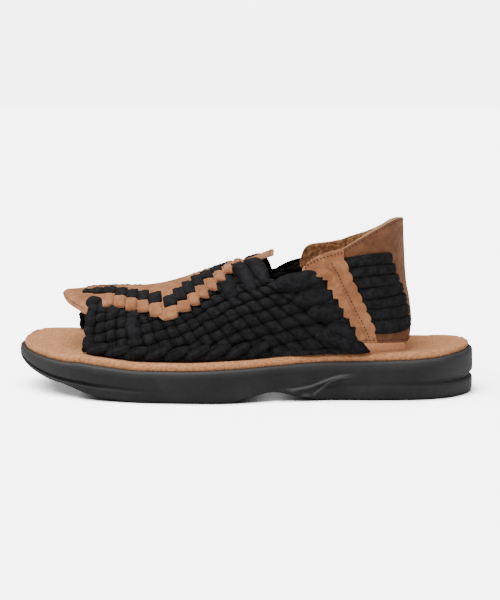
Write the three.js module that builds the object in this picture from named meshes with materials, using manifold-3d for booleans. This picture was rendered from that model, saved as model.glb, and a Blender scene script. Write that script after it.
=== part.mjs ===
// Left huarache sandal: woven upper with leather overlays on a moulded sole.
// Millimetres, +Z up, toe towards -X, outer (lateral) side towards -Y, floor at Z = 0.

import * as THREE from 'three';
import Module from 'manifold-3d';

const wasm = await Module();
wasm.setup();

// Driving sizes
const LENGTH = 292;
const BALL_WIDTH = 104;
const HEEL_WIDTH = 72;
const SOLE_THICKNESS = 20;
const TOE_SPRING = 20;
const ARCH_RISE = 6;
const TOE_CANT = 4.5;
const INSOLE_LIP = 4.6;
const INSOLE_DISH = 1.6;
const RIM_WIDTH = 3;
const EDGE_ROUND = 4;
const GROOVE_DEPTH = 2;
const INSTEP_RISE = 57;
const CROWN_SHIFT = 3;
const BACK_RISE = 83;
const STRAP_INSET = 3;
const WEAVE_WALL = 3;
const WEAVE_RELIEF = 0.8;
const LINING = 1.6;
const LEATHER = 1.3;
const CORD_THICKNESS = 2.2;
const CORD_COUNT = 7;
const CLEARANCE = 0.3;
const CHORD_ALLOWANCE = 0.35;
const SEAM_GAP = 1.75;
const TREAD_DEPTH = 1.6;
const TREAD_WIDTH = 3;

const LATERAL = -1;
const MEDIAL = 1;

// Sole outline: at = share of length from the toe, sides = share of the local width
const OUTLINE = [
  { at: 0, lateral: 0.075, medial: 0.075 },
  { at: 0.02, lateral: -0.115, medial: 0.24 },
  { at: 0.062, lateral: -0.25, medial: 0.36 },
  { at: 0.113, lateral: -0.345, medial: 0.435 },
  { at: 0.2, lateral: -0.435, medial: 0.485 },
  { at: 0.31, lateral: -0.49, medial: 0.5 },
  { at: 0.4, lateral: -0.5, medial: 0.47 },
  { at: 0.54, lateral: -0.505, medial: 0.435 },
  { at: 0.66, lateral: -0.525, medial: 0.475 },
  { at: 0.76, lateral: -0.53, medial: 0.49 },
  { at: 0.853, lateral: -0.51, medial: 0.49 },
  { at: 0.92, lateral: -0.44, medial: 0.43 },
  { at: 0.97, lateral: -0.29, medial: 0.29 },
  { at: 1, lateral: 0, medial: 0 },
];

// Side of the sole: spring = share of toe spring, arch = share of arch rise,
// thick = share of sole thickness at the rim, cant = share of the toe's medial lift
const SIDE = [
  { at: 0, spring: 1, archLateral: 0, archMedial: 0, thick: 0.33, cant: 0.5, groove: 1 },
  { at: 0.039, spring: 0.62, archLateral: 0, archMedial: 0, thick: 0.625, cant: 0.9, groove: 1 },
  { at: 0.0825, spring: 0.365, archLateral: 0, archMedial: 0, thick: 0.79, cant: 1, groove: 1 },
  { at: 0.123, spring: 0.24, archLateral: 0, archMedial: 0, thick: 0.87, cant: 1, groove: 1 },
  { at: 0.1616, spring: 0.14, archLateral: 0, archMedial: 0, thick: 0.975, cant: 0.9, groove: 1 },
  { at: 0.2168, spring: 0.06, archLateral: 0, archMedial: 0, thick: 0.98, cant: 0.6, groove: 0.7 },
  { at: 0.29, spring: 0, archLateral: 0, archMedial: 0, thick: 0.97, cant: 0.2, groove: 0.3 },
  { at: 0.37, spring: 0, archLateral: 0, archMedial: 0, thick: 0.97, cant: 0, groove: 0 },
  { at: 0.47, spring: 0, archLateral: 0, archMedial: 0, thick: 1.03, cant: 0, groove: 0 },
  { at: 0.515, spring: 0, archLateral: 0.5, archMedial: 0.7, thick: 1.055, cant: 0, groove: 0 },
  { at: 0.567, spring: 0, archLateral: 1, archMedial: 1.35, thick: 1.1, cant: 0, groove: 0 },
  { at: 0.62, spring: 0, archLateral: 0.45, archMedial: 0.65, thick: 1.15, cant: 0, groove: 0.2 },
  { at: 0.665, spring: 0, archLateral: 0, archMedial: 0, thick: 1.18, cant: 0, groove: 0.8 },
  { at: 0.79, spring: 0, archLateral: 0, archMedial: 0, thick: 1.215, cant: 0, groove: 1 },
  { at: 0.896, spring: 0, archLateral: 0, archMedial: 0, thick: 1.26, cant: 0, groove: 1 },
  { at: 0.97, spring: 0.02, archLateral: 0, archMedial: 0, thick: 1.35, cant: 0, groove: 1 },
  { at: 1, spring: 0.06, archLateral: 0, archMedial: 0, thick: 1.38, cant: 0, groove: 1 },
];

// Profile of the sole's side: inset = share of the edge rounding, height = share of the side
const SOLE_PROFILE = [
  { inset: 1, height: 0, groove: 0 },
  { inset: 0.35, height: 0.05, groove: 0 },
  { inset: 0.08, height: 0.16, groove: 0 },
  { inset: 0, height: 0.27, groove: 0 },
  { inset: 0, height: 0.385, groove: 1 },
  { inset: 0, height: 0.5, groove: 0 },
  { inset: 0.08, height: 0.84, groove: 0 },
  { inset: 0.3, height: 0.97, groove: 0 },
];

// Vamp and side walls: foot = inset of the wall's foot from the sole outline as share of
// ball width, rise = crown height over the insole as share of instep rise, round = fullness
const VAMP = [
  { at: 0.1, footLateral: 0.125, footMedial: 0.072, rise: 0.522, round: 2.3 },
  { at: 0.15, footLateral: 0.12, footMedial: 0.077, rise: 0.59, round: 2.3 },
  { at: 0.2246, footLateral: 0.11, footMedial: 0.087, rise: 0.66, round: 2.3 },
  { at: 0.3136, footLateral: 0.1, footMedial: 0.091, rise: 0.728, round: 2.35 },
  { at: 0.402, footLateral: 0.093, footMedial: 0.087, rise: 0.862, round: 2.4 },
  { at: 0.49, footLateral: 0.087, footMedial: 0.077, rise: 0.972, round: 2.5 },
  { at: 0.56, footLateral: 0.072, footMedial: 0.0625, rise: 1, round: 2.6 },
  { at: 0.77, footLateral: 0.048, footMedial: 0.048, rise: 1, round: 2.6 },
];

// Front edge of the woven vamp by share of the way from a wall's foot to the crown
const FRONT_EDGE = [
  { up: 0, lateral: 0.153, medial: 0.103 },
  { up: 0.25, lateral: 0.161, medial: 0.125 },
  { up: 0.5, lateral: 0.166, medial: 0.142 },
  { up: 1, lateral: 0.142, medial: 0.142 },
];

// Rear edge of a side wall by share of the way from its foot to the collar
const REAR_EDGE = [
  { up: 0, at: 0.768 },
  { up: 0.1, at: 0.7525 },
  { up: 0.2, at: 0.7405 },
  { up: 0.6, at: 0.711 },
  { up: 1, at: 0.669 },
];

// Throat edge by share of the way from the collar to the crown
const THROAT_EDGE = [
  { up: 0, at: 0.55 },
  { up: 0.35, at: 0.532 },
  { up: 0.7, at: 0.505 },
  { up: 1, at: 0.545 },
];

// Heel strap: top and bottom edge as share of back rise over the heel seat
const STRAP_EDGE = [
  { at: 0.6286, topLateral: 0.645, topMedial: 0.655, bottom: 0.5 },
  { at: 0.6494, topLateral: 0.724, topMedial: 0.735, bottom: 0.43 },
  { at: 0.6792, topLateral: 0.772, topMedial: 0.757, bottom: 0.31 },
  { at: 0.7087, topLateral: 0.794, topMedial: 0.775, bottom: 0.15 },
  { at: 0.735, topLateral: 0.85, topMedial: 0.805, bottom: 0.065 },
  { at: 0.77, topLateral: 0.925, topMedial: 0.852, bottom: 0.05 },
  { at: 0.8018, topLateral: 0.984, topMedial: 0.915, bottom: 0.045 },
  { at: 0.8305, topLateral: 1.003, topMedial: 0.98, bottom: 0.03 },
  { at: 0.87, topLateral: 1, topMedial: 1, bottom: 0.03 },
];

// Upright profile of the strap: up = share of back rise, half = share of strap width,
// back = place of the heel curve as share of length
const STRAP_PROFILE = [
  { up: -0.1, half: 0.545, back: 0.844 },
  { up: 0.02, half: 0.54, back: 0.849 },
  { up: 0.1, half: 0.535, back: 0.856 },
  { up: 0.22, half: 0.53, back: 0.8585 },
  { up: 0.37, half: 0.52, back: 0.854 },
  { up: 0.52, half: 0.51, back: 0.846 },
  { up: 0.65, half: 0.5, back: 0.8425 },
  { up: 0.8, half: 0.485, back: 0.84 },
  { up: 1.02, half: 0.465, back: 0.837 },
];
const STRAP_WIDTH = HEEL_WIDTH - 2 * STRAP_INSET;
const STRAP_BEND_AT = 0.705;
const STRAP_ROUND = 2.3;
const STRAP_FRONT_AT = 0.6286;

// Chevron overlay: reach from the crown down each side as share of the half girth
const CHEVRON = [
  { at: 0.1, reach: 0.03 },
  { at: 0.115, reach: 0.25 },
  { at: 0.1365, reach: 0.41 },
  { at: 0.1664, reach: 0.51 },
  { at: 0.21, reach: 0.49 },
  { at: 0.27, reach: 0.52 },
  { at: 0.33, reach: 0.61 },
  { at: 0.385, reach: 0.53 },
  { at: 0.43, reach: 0.4 },
  { at: 0.47, reach: 0.25 },
  { at: 0.51, reach: 0.13 },
  { at: 0.56, reach: 0.04 },
];
const CHEVRON_TEETH = 17;
const TOOTH_DEPTH = 0.035;

// Windows in the overlay where black strips pass over it: rows of squares along each V
const WINDOWS = [
  { at: 0.178, down: 0.16 },
  { at: 0.203, down: 0.18 },
  { at: 0.228, down: 0.21 },
  { at: 0.253, down: 0.25 },
  { at: 0.278, down: 0.3 },
  { at: 0.303, down: 0.35 },
  { at: 0.345, down: 0.38 },
  { at: 0.372, down: 0.31 },
  { at: 0.399, down: 0.24 },
  { at: 0.426, down: 0.17 },
];
const WINDOW_LENGTH = 6.4;
const WINDOW_SHARE = 0.075;

// Side panel: front (toothed) and rear (scalloped) edge, heights as share of back rise
const PANEL_EDGE = [
  { up: 0, front: 0.762, frontUp: 0.05, rear: 0.782, rearUp: 0.05 },
  { up: 0.12, front: 0.7495, frontUp: 0.13, rear: 0.7735, rearUp: 0.17 },
  { up: 0.3, front: 0.734, frontUp: 0.235, rear: 0.762, rearUp: 0.285 },
  { up: 0.5, front: 0.718, frontUp: 0.37, rear: 0.745, rearUp: 0.44 },
  { up: 0.68, front: 0.7, frontUp: 0.49, rear: 0.7325, rearUp: 0.56 },
  { up: 0.84, front: 0.677, frontUp: 0.615, rear: 0.722, rearUp: 0.69 },
  { up: 0.9, front: 0.6565, frontUp: 0.625, rear: 0.716, rearUp: 0.735 },
  { up: 0.95, front: 0.6355, frontUp: 0.64, rear: 0.7125, rearUp: 0.765 },
  { up: 1, front: 0.6435, frontUp: 0.695, rear: 0.7105, rearUp: 0.79 },
];
const PANEL_ROWS = 18;
const SCALLOP = 0.0035;

// Place of the slots where the cords enter the counter, as share of the heel curve
const SLOT_LINE = { top: 0.36, bottom: 0.16 };
const CORD_TOP = { front: 0.71, back: 0.755 };
const CORD_BOTTOM = { front: 0.165, back: 0.18 };

// Tread: grooves across the sole, at = share of length
const TREAD = [0.2, 0.24, 0.28, 0.32, 0.36, 0.4, 0.44, 0.7, 0.74, 0.78, 0.82, 0.86];
const TREAD_REACH = 0.62;

function smoothstep(low, high, value) {
  const t = Math.min(Math.max((value - low) / (high - low), 0), 1);
  return t * t * (3 - 2 * t);
}

// Reads a column of a table between its rows with a smooth curve
function read(table, key, column, value) {
  const last = table.length - 1;
  if (value <= table[0][key]) return table[0][column];
  if (value >= table[last][key]) return table[last][column];
  let i = 0;
  while (table[i + 1][key] < value) i += 1;
  const slope = (a, b) => (table[b][column] - table[a][column]) / (table[b][key] - table[a][key]);
  const step = table[i + 1][key] - table[i][key];
  const mid = slope(i, i + 1);
  const before = i > 0 ? slope(i - 1, i) : mid;
  const after = i < last - 1 ? slope(i + 1, i + 2) : mid;
  const m0 = before * mid <= 0 ? 0 : (2 * before * mid) / (before + mid);
  const m1 = after * mid <= 0 ? 0 : (2 * after * mid) / (after + mid);
  const t = (value - table[i][key]) / step;
  const t2 = t * t;
  const t3 = t2 * t;
  return (2 * t3 - 3 * t2 + 1) * table[i][column] + (t3 - 2 * t2 + t) * step * (i > 0 ? m0 : mid)
    + (3 * t2 - 2 * t3) * table[i + 1][column] + (t3 - t2) * step * (i < last - 1 ? m1 : mid);
}

const toX = (at) => (at - 0.5) * LENGTH;
const toAt = (x) => x / LENGTH + 0.5;
const sideName = (side) => (side === LATERAL ? 'Lateral' : 'Medial');

// Half width of the sole on one side; the angle key rounds both ends
const OUTLINE_BY_ANGLE = OUTLINE.map((row) => ({ ...row, angle: Math.acos(1 - 2 * row.at) }));

function outlineY(at, side) {
  const angle = Math.acos(1 - 2 * Math.min(Math.max(at, 0), 1));
  const width = BALL_WIDTH + (HEEL_WIDTH - BALL_WIDTH) * smoothstep(0.42, 0.72, at);
  return width * read(OUTLINE_BY_ANGLE, 'angle', side === LATERAL ? 'lateral' : 'medial', angle);
}

function soleBottom(at, side) {
  const arch = read(SIDE, 'at', `arch${sideName(side)}`, at);
  return TOE_SPRING * read(SIDE, 'at', 'spring', at) + ARCH_RISE * arch;
}

function rimTop(at, side) {
  const cant = side === MEDIAL ? TOE_CANT * read(SIDE, 'at', 'cant', at) : 0;
  const spring = TOE_SPRING * read(SIDE, 'at', 'spring', at);
  return spring + SOLE_THICKNESS * read(SIDE, 'at', 'thick', at) + cant;
}

const LIP_INSET = RIM_WIDTH + 3.5;
const FOOT_GAP = CLEARANCE + CHORD_ALLOWANCE;

// Top of the insole, slightly dished between its rounded edges
function insoleTop(x, y) {
  const at = toAt(x);
  const low = outlineY(at, LATERAL) + LIP_INSET;
  const high = outlineY(at, MEDIAL) - LIP_INSET;
  const across = Math.min(Math.max((y - low) / Math.max(high - low, 1), 0), 1);
  const rim = rimTop(at, LATERAL) * (1 - across) + rimTop(at, MEDIAL) * across;
  return rim + INSOLE_LIP - INSOLE_DISH * 4 * across * (1 - across);
}

const SEAT = insoleTop(toX(0.8), 0);
const toRise = (up) => SEAT + BACK_RISE * up;

function solidFrom(points, triangles) {
  let volume = 0;
  for (const [a, b, c] of triangles) {
    volume += points[a].dot(new THREE.Vector3().crossVectors(points[b], points[c]));
  }
  const faces = volume < 0 ? triangles.map(([a, b, c]) => [a, c, b]) : triangles;
  const vertProperties = new Float32Array(points.flatMap((p) => [p.x, p.y, p.z]));
  return new wasm.Manifold(new wasm.Mesh({
    numProp: 3,
    vertProperties,
    triVerts: new Uint32Array(faces.flat()),
  }));
}

// A sheet with a thickness: a grid of points on two faces and walls around what is kept
function sheet(rows, columns, outer, inner, keep) {
  const points = [];
  const index = new Map();
  const node = (face, i, j) => {
    const key = `${face}:${i}:${j}`;
    if (!index.has(key)) {
      index.set(key, points.length);
      points.push(face === 'outer' ? outer(i, j) : inner(i, j));
    }
    return index.get(key);
  };
  const kept = (i, j) => i >= 0 && j >= 0 && i < rows && j < columns && keep(i, j);
  const triangles = [];
  const wall = (i0, j0, i1, j1) => {
    const a = node('outer', i0, j0);
    const b = node('outer', i1, j1);
    const c = node('inner', i1, j1);
    const d = node('inner', i0, j0);
    triangles.push([b, a, d], [b, d, c]);
  };
  for (let i = 0; i < rows; i += 1) {
    for (let j = 0; j < columns; j += 1) {
      if (!kept(i, j)) continue;
      const corners = [[i, j], [i + 1, j], [i + 1, j + 1], [i, j + 1]];
      const [a, b, c, d] = corners.map(([p, q]) => node('outer', p, q));
      const [e, f, g, h] = corners.map(([p, q]) => node('inner', p, q));
      if ((i + j) % 2 === 0) {
        triangles.push([a, b, c], [a, c, d], [e, g, f], [e, h, g]);
      } else {
        triangles.push([a, b, d], [b, c, d], [e, h, f], [f, h, g]);
      }
      if (!kept(i, j - 1)) wall(i, j, i + 1, j);
      if (!kept(i + 1, j)) wall(i + 1, j, i + 1, j + 1);
      if (!kept(i, j + 1)) wall(i + 1, j + 1, i, j + 1);
      if (!kept(i - 1, j)) wall(i, j + 1, i, j);
    }
  }
  return solidFrom(points, triangles);
}

// Outline of the sole as a ring of points: toe tip, lateral side, heel tip, medial side
const STATIONS = 40;
const OUTLINE_RING = [];
for (let i = 0; i <= STATIONS; i += 1) {
  const at = (1 - Math.cos((Math.PI * i) / STATIONS)) / 2;
  OUTLINE_RING.push({ at, side: LATERAL, x: toX(at), y: outlineY(at, LATERAL) });
}
for (let i = STATIONS - 1; i > 0; i -= 1) {
  const at = (1 - Math.cos((Math.PI * i) / STATIONS)) / 2;
  OUTLINE_RING.push({ at, side: MEDIAL, x: toX(at), y: outlineY(at, MEDIAL) });
}
OUTLINE_RING.forEach((point, i) => {
  const next = OUTLINE_RING[(i + 1) % OUTLINE_RING.length];
  const before = OUTLINE_RING[(i + OUTLINE_RING.length - 1) % OUTLINE_RING.length];
  const along = new THREE.Vector2(next.x - before.x, next.y - before.y).normalize();
  point.inward = new THREE.Vector2(-along.y, along.x);
});

// Rings stacked from the bottom up and closed by a ladder of rungs below and above
function stackedRings(levels, spans, crossPoint) {
  const size = OUTLINE_RING.length;
  const points = [];
  const triangles = [];
  for (const level of levels) {
    for (const point of OUTLINE_RING) {
      const { inset, z } = level(point);
      points.push(new THREE.Vector3(
        point.x + point.inward.x * inset,
        point.y + point.inward.y * inset,
        z,
      ));
    }
  }
  for (let k = 0; k + 1 < levels.length; k += 1) {
    for (let i = 0; i < size; i += 1) {
      const a = k * size + i;
      const b = k * size + ((i + 1) % size);
      triangles.push([a, b, b + size], [a, b + size, a + size]);
    }
  }
  const ladder = (base, steps, flip) => {
    const rungs = [];
    for (let i = 1; i < STATIONS; i += 1) {
      const low = base + i;
      const high = base + size - i;
      const rung = [low];
      for (let c = 1; c < steps; c += 1) {
        points.push(crossPoint(points[low], points[high], c / steps));
        rung.push(points.length - 1);
      }
      rung.push(high);
      rungs.push(rung);
    }
    const add = (a, b, c) => triangles.push(flip ? [a, c, b] : [a, b, c]);
    for (let c = 0; c < steps; c += 1) {
      add(base, rungs[0][c], rungs[0][c + 1]);
      for (let r = 0; r + 1 < rungs.length; r += 1) {
        add(rungs[r][c], rungs[r + 1][c], rungs[r + 1][c + 1]);
        add(rungs[r][c], rungs[r + 1][c + 1], rungs[r][c + 1]);
      }
      const end = rungs[rungs.length - 1];
      add(base + STATIONS, end[c + 1], end[c]);
    }
  };
  ladder(0, 1, true);
  ladder((levels.length - 1) * size, spans, false);
  return solidFrom(points, triangles);
}

const flatRung = (low, high, share) => low.clone().lerp(high, share);
const dishedRung = (low, high, share) => {
  const point = low.clone().lerp(high, share);
  point.z -= INSOLE_DISH * 4 * share * (1 - share);
  return point;
};

// At the tips both sides meet, so they take the mean of the two sides
function ringHeight(point, height) {
  if (point.at > 0 && point.at < 1) return height(point.at, point.side);
  return (height(point.at, LATERAL) + height(point.at, MEDIAL)) / 2;
}

const SOLE_TOP_DROP = 1;

function makeOutsole() {
  const levels = SOLE_PROFILE.map((row) => (point) => {
    const bottom = ringHeight(point, soleBottom);
    const top = ringHeight(point, rimTop);
    const groove = row.groove * GROOVE_DEPTH * read(SIDE, 'at', 'groove', point.at);
    return { inset: row.inset * EDGE_ROUND + groove, z: bottom + (top - bottom) * row.height };
  });
  levels.push((point) => ({ inset: RIM_WIDTH - 0.6, z: ringHeight(point, rimTop) }));
  levels.push((point) => ({
    inset: RIM_WIDTH + 0.2,
    z: ringHeight(point, rimTop) - SOLE_TOP_DROP,
  }));
  let sole = stackedRings(levels, 1, flatRung);
  for (const at of TREAD) {
    const x = toX(at);
    const low = outlineY(at, LATERAL) * TREAD_REACH;
    const high = outlineY(at, MEDIAL) * TREAD_REACH;
    const bottom = Math.max(soleBottom(at, LATERAL), soleBottom(at, MEDIAL));
    sole = sole.subtract(block(
      [x - TREAD_WIDTH / 2, low, -1],
      [x + TREAD_WIDTH / 2, high, bottom + TREAD_DEPTH],
    ));
  }
  return sole;
}

// A block between two corners
function block(low, high) {
  const corners = [low[2], high[2]].flatMap((z) => [
    new THREE.Vector3(low[0], low[1], z),
    new THREE.Vector3(high[0], low[1], z),
    new THREE.Vector3(high[0], high[1], z),
    new THREE.Vector3(low[0], high[1], z),
  ]);
  return eightCorners(corners);
}

// A solid from four corners below and the four above them
function eightCorners(points) {
  const sides = [0, 1, 2, 3].flatMap((i) => {
    const j = (i + 1) % 4;
    return [[i, j, j + 4], [i, j + 4, i + 4]];
  });
  return solidFrom(points, [[0, 2, 1], [0, 3, 2], [4, 5, 6], [4, 6, 7], ...sides]);
}

function makeInsole() {
  const seat = -SOLE_TOP_DROP + CLEARANCE + CHORD_ALLOWANCE / 2;
  const rise = (inset, over) => (point) => ({ inset, z: ringHeight(point, rimTop) + over });
  const levels = [
    rise(RIM_WIDTH + 0.7, seat),
    rise(RIM_WIDTH + 0.2, seat + 1.2),
    rise(RIM_WIDTH, INSOLE_LIP * 0.55),
    rise(RIM_WIDTH + 1, INSOLE_LIP * 0.9),
    rise(LIP_INSET, INSOLE_LIP),
  ];
  return stackedRings(levels, 4, dishedRung);
}

// Point on the arch of the vamp: up = 0 at the wall's foot, 1 at the crown
const ARCH_SAMPLES = 24;
const archCache = new Map();

function archSection(at, side) {
  const key = `${at.toFixed(6)}:${side}`;
  if (archCache.has(key)) return archCache.get(key);
  const x = toX(at);
  const footInset = read(VAMP, 'at', `foot${sideName(side)}`, at);
  const footY = outlineY(at, side) - side * footInset * BALL_WIDTH;
  const footZ = insoleTop(x, footY) + FOOT_GAP;
  const crownZ = insoleTop(x, CROWN_SHIFT) + INSTEP_RISE * read(VAMP, 'at', 'rise', at);
  const power = 2 / read(VAMP, 'at', 'round', at);
  const points = [];
  let length = 0;
  for (let i = 0; i <= ARCH_SAMPLES; i += 1) {
    const angle = (Math.PI / 2) * (i / ARCH_SAMPLES);
    const point = new THREE.Vector3(
      x,
      CROWN_SHIFT + (footY - CROWN_SHIFT) * Math.max(Math.cos(angle), 0) ** power,
      footZ + (crownZ - footZ) * Math.sin(angle) ** power,
    );
    if (i > 0) length += point.distanceTo(points[i - 1].point);
    points.push({ point, length });
  }
  archCache.set(key, points);
  return points;
}

function archPoint(at, side, up) {
  const points = archSection(at, side);
  const wanted = up * points[ARCH_SAMPLES].length;
  let i = 1;
  while (i < ARCH_SAMPLES && points[i].length < wanted) i += 1;
  const share = (wanted - points[i - 1].length) / (points[i].length - points[i - 1].length);
  return points[i - 1].point.clone().lerp(points[i].point, share);
}

// Half width of the heel strap at a place and height
function strapY(at, z) {
  const up = (z - SEAT) / BACK_RISE;
  const half = STRAP_WIDTH * read(STRAP_PROFILE, 'up', 'half', up);
  const back = read(STRAP_PROFILE, 'up', 'back', up);
  const share = Math.min(Math.max((at - STRAP_BEND_AT) / (back - STRAP_BEND_AT), 0), 1);
  return half * (1 - share ** STRAP_ROUND) ** (1 / STRAP_ROUND);
}

const WALL_ROWS = 8;
const CROWN_ROWS = 6;
const HALF_ROWS = WALL_ROWS + CROWN_ROWS;
const COLLAR_SHARE = WALL_ROWS / HALF_ROWS;
const VAMP_STEPS = 32;
const THROAT_STEP = 21;
const WEAVE_START = 0.148;
const WEAVE_END = 0.76;
const COLLAR = [
  { at: 0.54, up: 0.545 },
  { at: 0.6, up: 0.575 },
  { at: 0.64, up: 0.597 },
  { at: 0.67, up: 0.6 },
];

// Place along the shoe of a node of the woven wall, edges drawn to their own lines
function weaveAt(i, side, up) {
  const start = WEAVE_START;
  const pitch = (WEAVE_END - start) / VAMP_STEPS;
  let at = start + pitch * i;
  const front = read(FRONT_EDGE, 'up', side === LATERAL ? 'lateral' : 'medial', up) - start;
  at += front * (1 - smoothstep(0, 12, i));
  if (up <= COLLAR_SHARE) {
    const rear = read(REAR_EDGE, 'up', 'at', up / COLLAR_SHARE) - WEAVE_END;
    return at + rear * smoothstep(THROAT_STEP, VAMP_STEPS, i);
  }
  const over = (up - COLLAR_SHARE) / (1 - COLLAR_SHARE);
  const throat = read(THROAT_EDGE, 'up', 'at', over) - (start + pitch * THROAT_STEP);
  return at + throat * smoothstep(THROAT_STEP - 6, THROAT_STEP, i) * smoothstep(0, 0.2, over);
}

// Smooth outer surface of the woven wall, from vamp arch to upright side wall
function weavePoint(at, side, up) {
  const arch = archPoint(at, side, up);
  const weight = smoothstep(0.49, 0.62, at);
  if (weight === 0) return arch;
  const share = Math.min(up / COLLAR_SHARE, 1);
  const foot = archPoint(at, side, 0);
  const collarZ = toRise(read(COLLAR, 'at', 'up', at));
  const z = foot.z + (collarZ - foot.z) * share;
  const wall = new THREE.Vector3(arch.x, side * (strapY(at, z) + WEAVE_WALL - LINING), z);
  if (up > COLLAR_SHARE) wall.add(arch).sub(archPoint(at, side, COLLAR_SHARE));
  return arch.lerp(wall, weight);
}

const sideOf = (j) => (j < HALF_ROWS ? LATERAL : MEDIAL);
const upOf = (j) => 1 - Math.abs(j - HALF_ROWS) / HALF_ROWS;

function outwardNormal(point, alongA, alongB, crossA, crossB, centreY) {
  const along = alongB.clone().sub(alongA);
  const cross = crossB.clone().sub(crossA);
  const normal = new THREE.Vector3().crossVectors(along, cross).normalize();
  const out = new THREE.Vector3(0, point.y - centreY, Math.max(point.z - SEAT, 0));
  return normal.dot(out) < 0 ? normal.negate() : normal;
}

// Normal of the smooth surface at a place and height share
function weaveNormal(at, side, up) {
  const step = 0.006;
  const low = Math.max(up - 0.03, 0);
  const high = up + 0.03;
  const upper = high > 1 ? weavePoint(at, -side, 2 - high) : weavePoint(at, side, high);
  return outwardNormal(
    weavePoint(at, side, up),
    weavePoint(at - step, side, up),
    weavePoint(at + step, side, up),
    weavePoint(at, side, low),
    upper,
    CROWN_SHIFT,
  );
}

function weaveOffset(at, side, up, distance) {
  const point = weavePoint(at, side, up).addScaledVector(weaveNormal(at, side, up), distance);
  if (up === 0) point.z = insoleTop(point.x, point.y) + FOOT_GAP;
  return point;
}

function makeWeave() {
  const place = (i, j) => [weaveAt(i, sideOf(j), upOf(j)), sideOf(j), upOf(j)];
  const outer = (i, j) => weaveOffset(...place(i, j), (i + j) % 2 ? WEAVE_RELIEF : 0);
  const inner = (i, j) => weaveOffset(...place(i, j), -WEAVE_WALL);
  const keep = (i, j) => {
    const onWall = j < WALL_ROWS || j >= 2 * HALF_ROWS - WALL_ROWS;
    return onWall || i < THROAT_STEP;
  };
  return sheet(VAMP_STEPS, 2 * HALF_ROWS, outer, inner, keep);
}

// Point on the heel strap: around = -1 lateral front, 0 back centre, 1 medial front
const CURVE_SHARE = 0.7;

function strapPoint(around, z, distance) {
  const locate = (turn) => {
    const up = (z - SEAT) / BACK_RISE;
    const half = STRAP_WIDTH * read(STRAP_PROFILE, 'up', 'half', up);
    const back = toX(read(STRAP_PROFILE, 'up', 'back', up));
    const bend = toX(STRAP_BEND_AT);
    const side = turn < 0 ? LATERAL : MEDIAL;
    const amount = Math.abs(turn);
    if (amount > CURVE_SHARE) {
      const share = (amount - CURVE_SHARE) / (1 - CURVE_SHARE);
      return new THREE.Vector2(bend + (toX(STRAP_FRONT_AT) - bend) * share, side * half);
    }
    const angle = (Math.PI / 2) * (amount / CURVE_SHARE);
    const power = 2 / STRAP_ROUND;
    return new THREE.Vector2(
      bend + (back - bend) * Math.max(Math.cos(angle), 0) ** power,
      side * half * Math.sin(angle) ** power,
    );
  };
  const here = locate(around);
  const along = locate(around + 0.01).sub(locate(around - 0.01)).normalize();
  return new THREE.Vector3(here.x + along.y * distance, here.y - along.x * distance, z);
}

// Turns a place along one side of the strap into its share around the strap
function strapTurn(at, side, z) {
  let low = 0;
  let high = 1.05;
  for (let k = 0; k < 30; k += 1) {
    const mid = (low + high) / 2;
    if (toAt(strapPoint(side * mid, z, 0).x) > at) low = mid;
    else high = mid;
  }
  return (side * (low + high)) / 2;
}

function strapEdge(around, column) {
  const side = around < 0 ? LATERAL : MEDIAL;
  const name = column === 'top' ? `top${sideName(side)}` : column;
  let z = toRise(column === 'top' ? 0.8 : 0.1);
  for (let k = 0; k < 4; k += 1) {
    z = toRise(read(STRAP_EDGE, 'at', name, toAt(strapPoint(around, z, 0).x)));
  }
  return z;
}

function makeStrapLining() {
  const turns = 32;
  const rows = 5;
  const point = (distance) => (i, j) => {
    const around = -1 + (2 * i) / turns;
    const bottom = strapEdge(around, 'bottom');
    const z = bottom + (strapEdge(around, 'top') - bottom) * (j / rows);
    return strapPoint(around, z, distance);
  };
  return sheet(turns, rows, point(0), point(-LINING), () => true);
}

const COUNTER_OFFSET = CLEARANCE + CHORD_ALLOWANCE / 2;

// Outer leather of the heel, between the two side panels
function makeHeelCounter() {
  const turns = 22;
  const rows = 5;
  const point = (distance) => (i, j) => {
    const side = i < turns / 2 ? LATERAL : MEDIAL;
    const reach = Math.abs((2 * i) / turns - 1);
    const bottom = toRise(0.05);
    const rough = bottom + (toRise(0.8) - bottom) * (j / rows);
    const front = strapTurn(read(PANEL_EDGE, 'up', 'rear', j / rows) + SEAM_GAP / LENGTH, side, rough);
    const around = front * reach;
    const low = strapEdge(around, 'bottom');
    const z = low + (strapEdge(around, 'top') - low) * (j / rows);
    return strapPoint(around, z, distance);
  };
  return sheet(turns, rows, point(COUNTER_OFFSET + LEATHER), point(COUNTER_OFFSET), () => true);
}

// Leather panel at the side, toothed in front and scalloped behind
function makeSidePanel(side) {
  const columns = 3;
  const point = (distance) => (i, j) => {
    const up = i / PANEL_ROWS;
    const wave = i % 2 === 0 ? 0 : SCALLOP;
    const share = j / columns;
    const row = (name) => read(PANEL_EDGE, 'up', name, up);
    const at = row('front') + (row('rear') + wave - row('front')) * share;
    const edge = row('frontUp') + (row('rearUp') - row('frontUp')) * share;
    const bow = up === 1 ? 0.012 * Math.sin(Math.PI * share) : 0;
    const z = toRise(edge + bow);
    return strapPoint(strapTurn(at, side, z), z, distance);
  };
  return sheet(PANEL_ROWS, columns, point(COUNTER_OFFSET + LEATHER), point(COUNTER_OFFSET), () => true);
}

// One flat cord from the side panel to its slot in the counter
const CORD_SECTION = [
  { across: -0.5, out: 0.35 },
  { across: -0.38, out: 0 },
  { across: 0.38, out: 0 },
  { across: 0.5, out: 0.35 },
  { across: 0.3, out: 1 },
  { across: -0.3, out: 1 },
];

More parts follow.
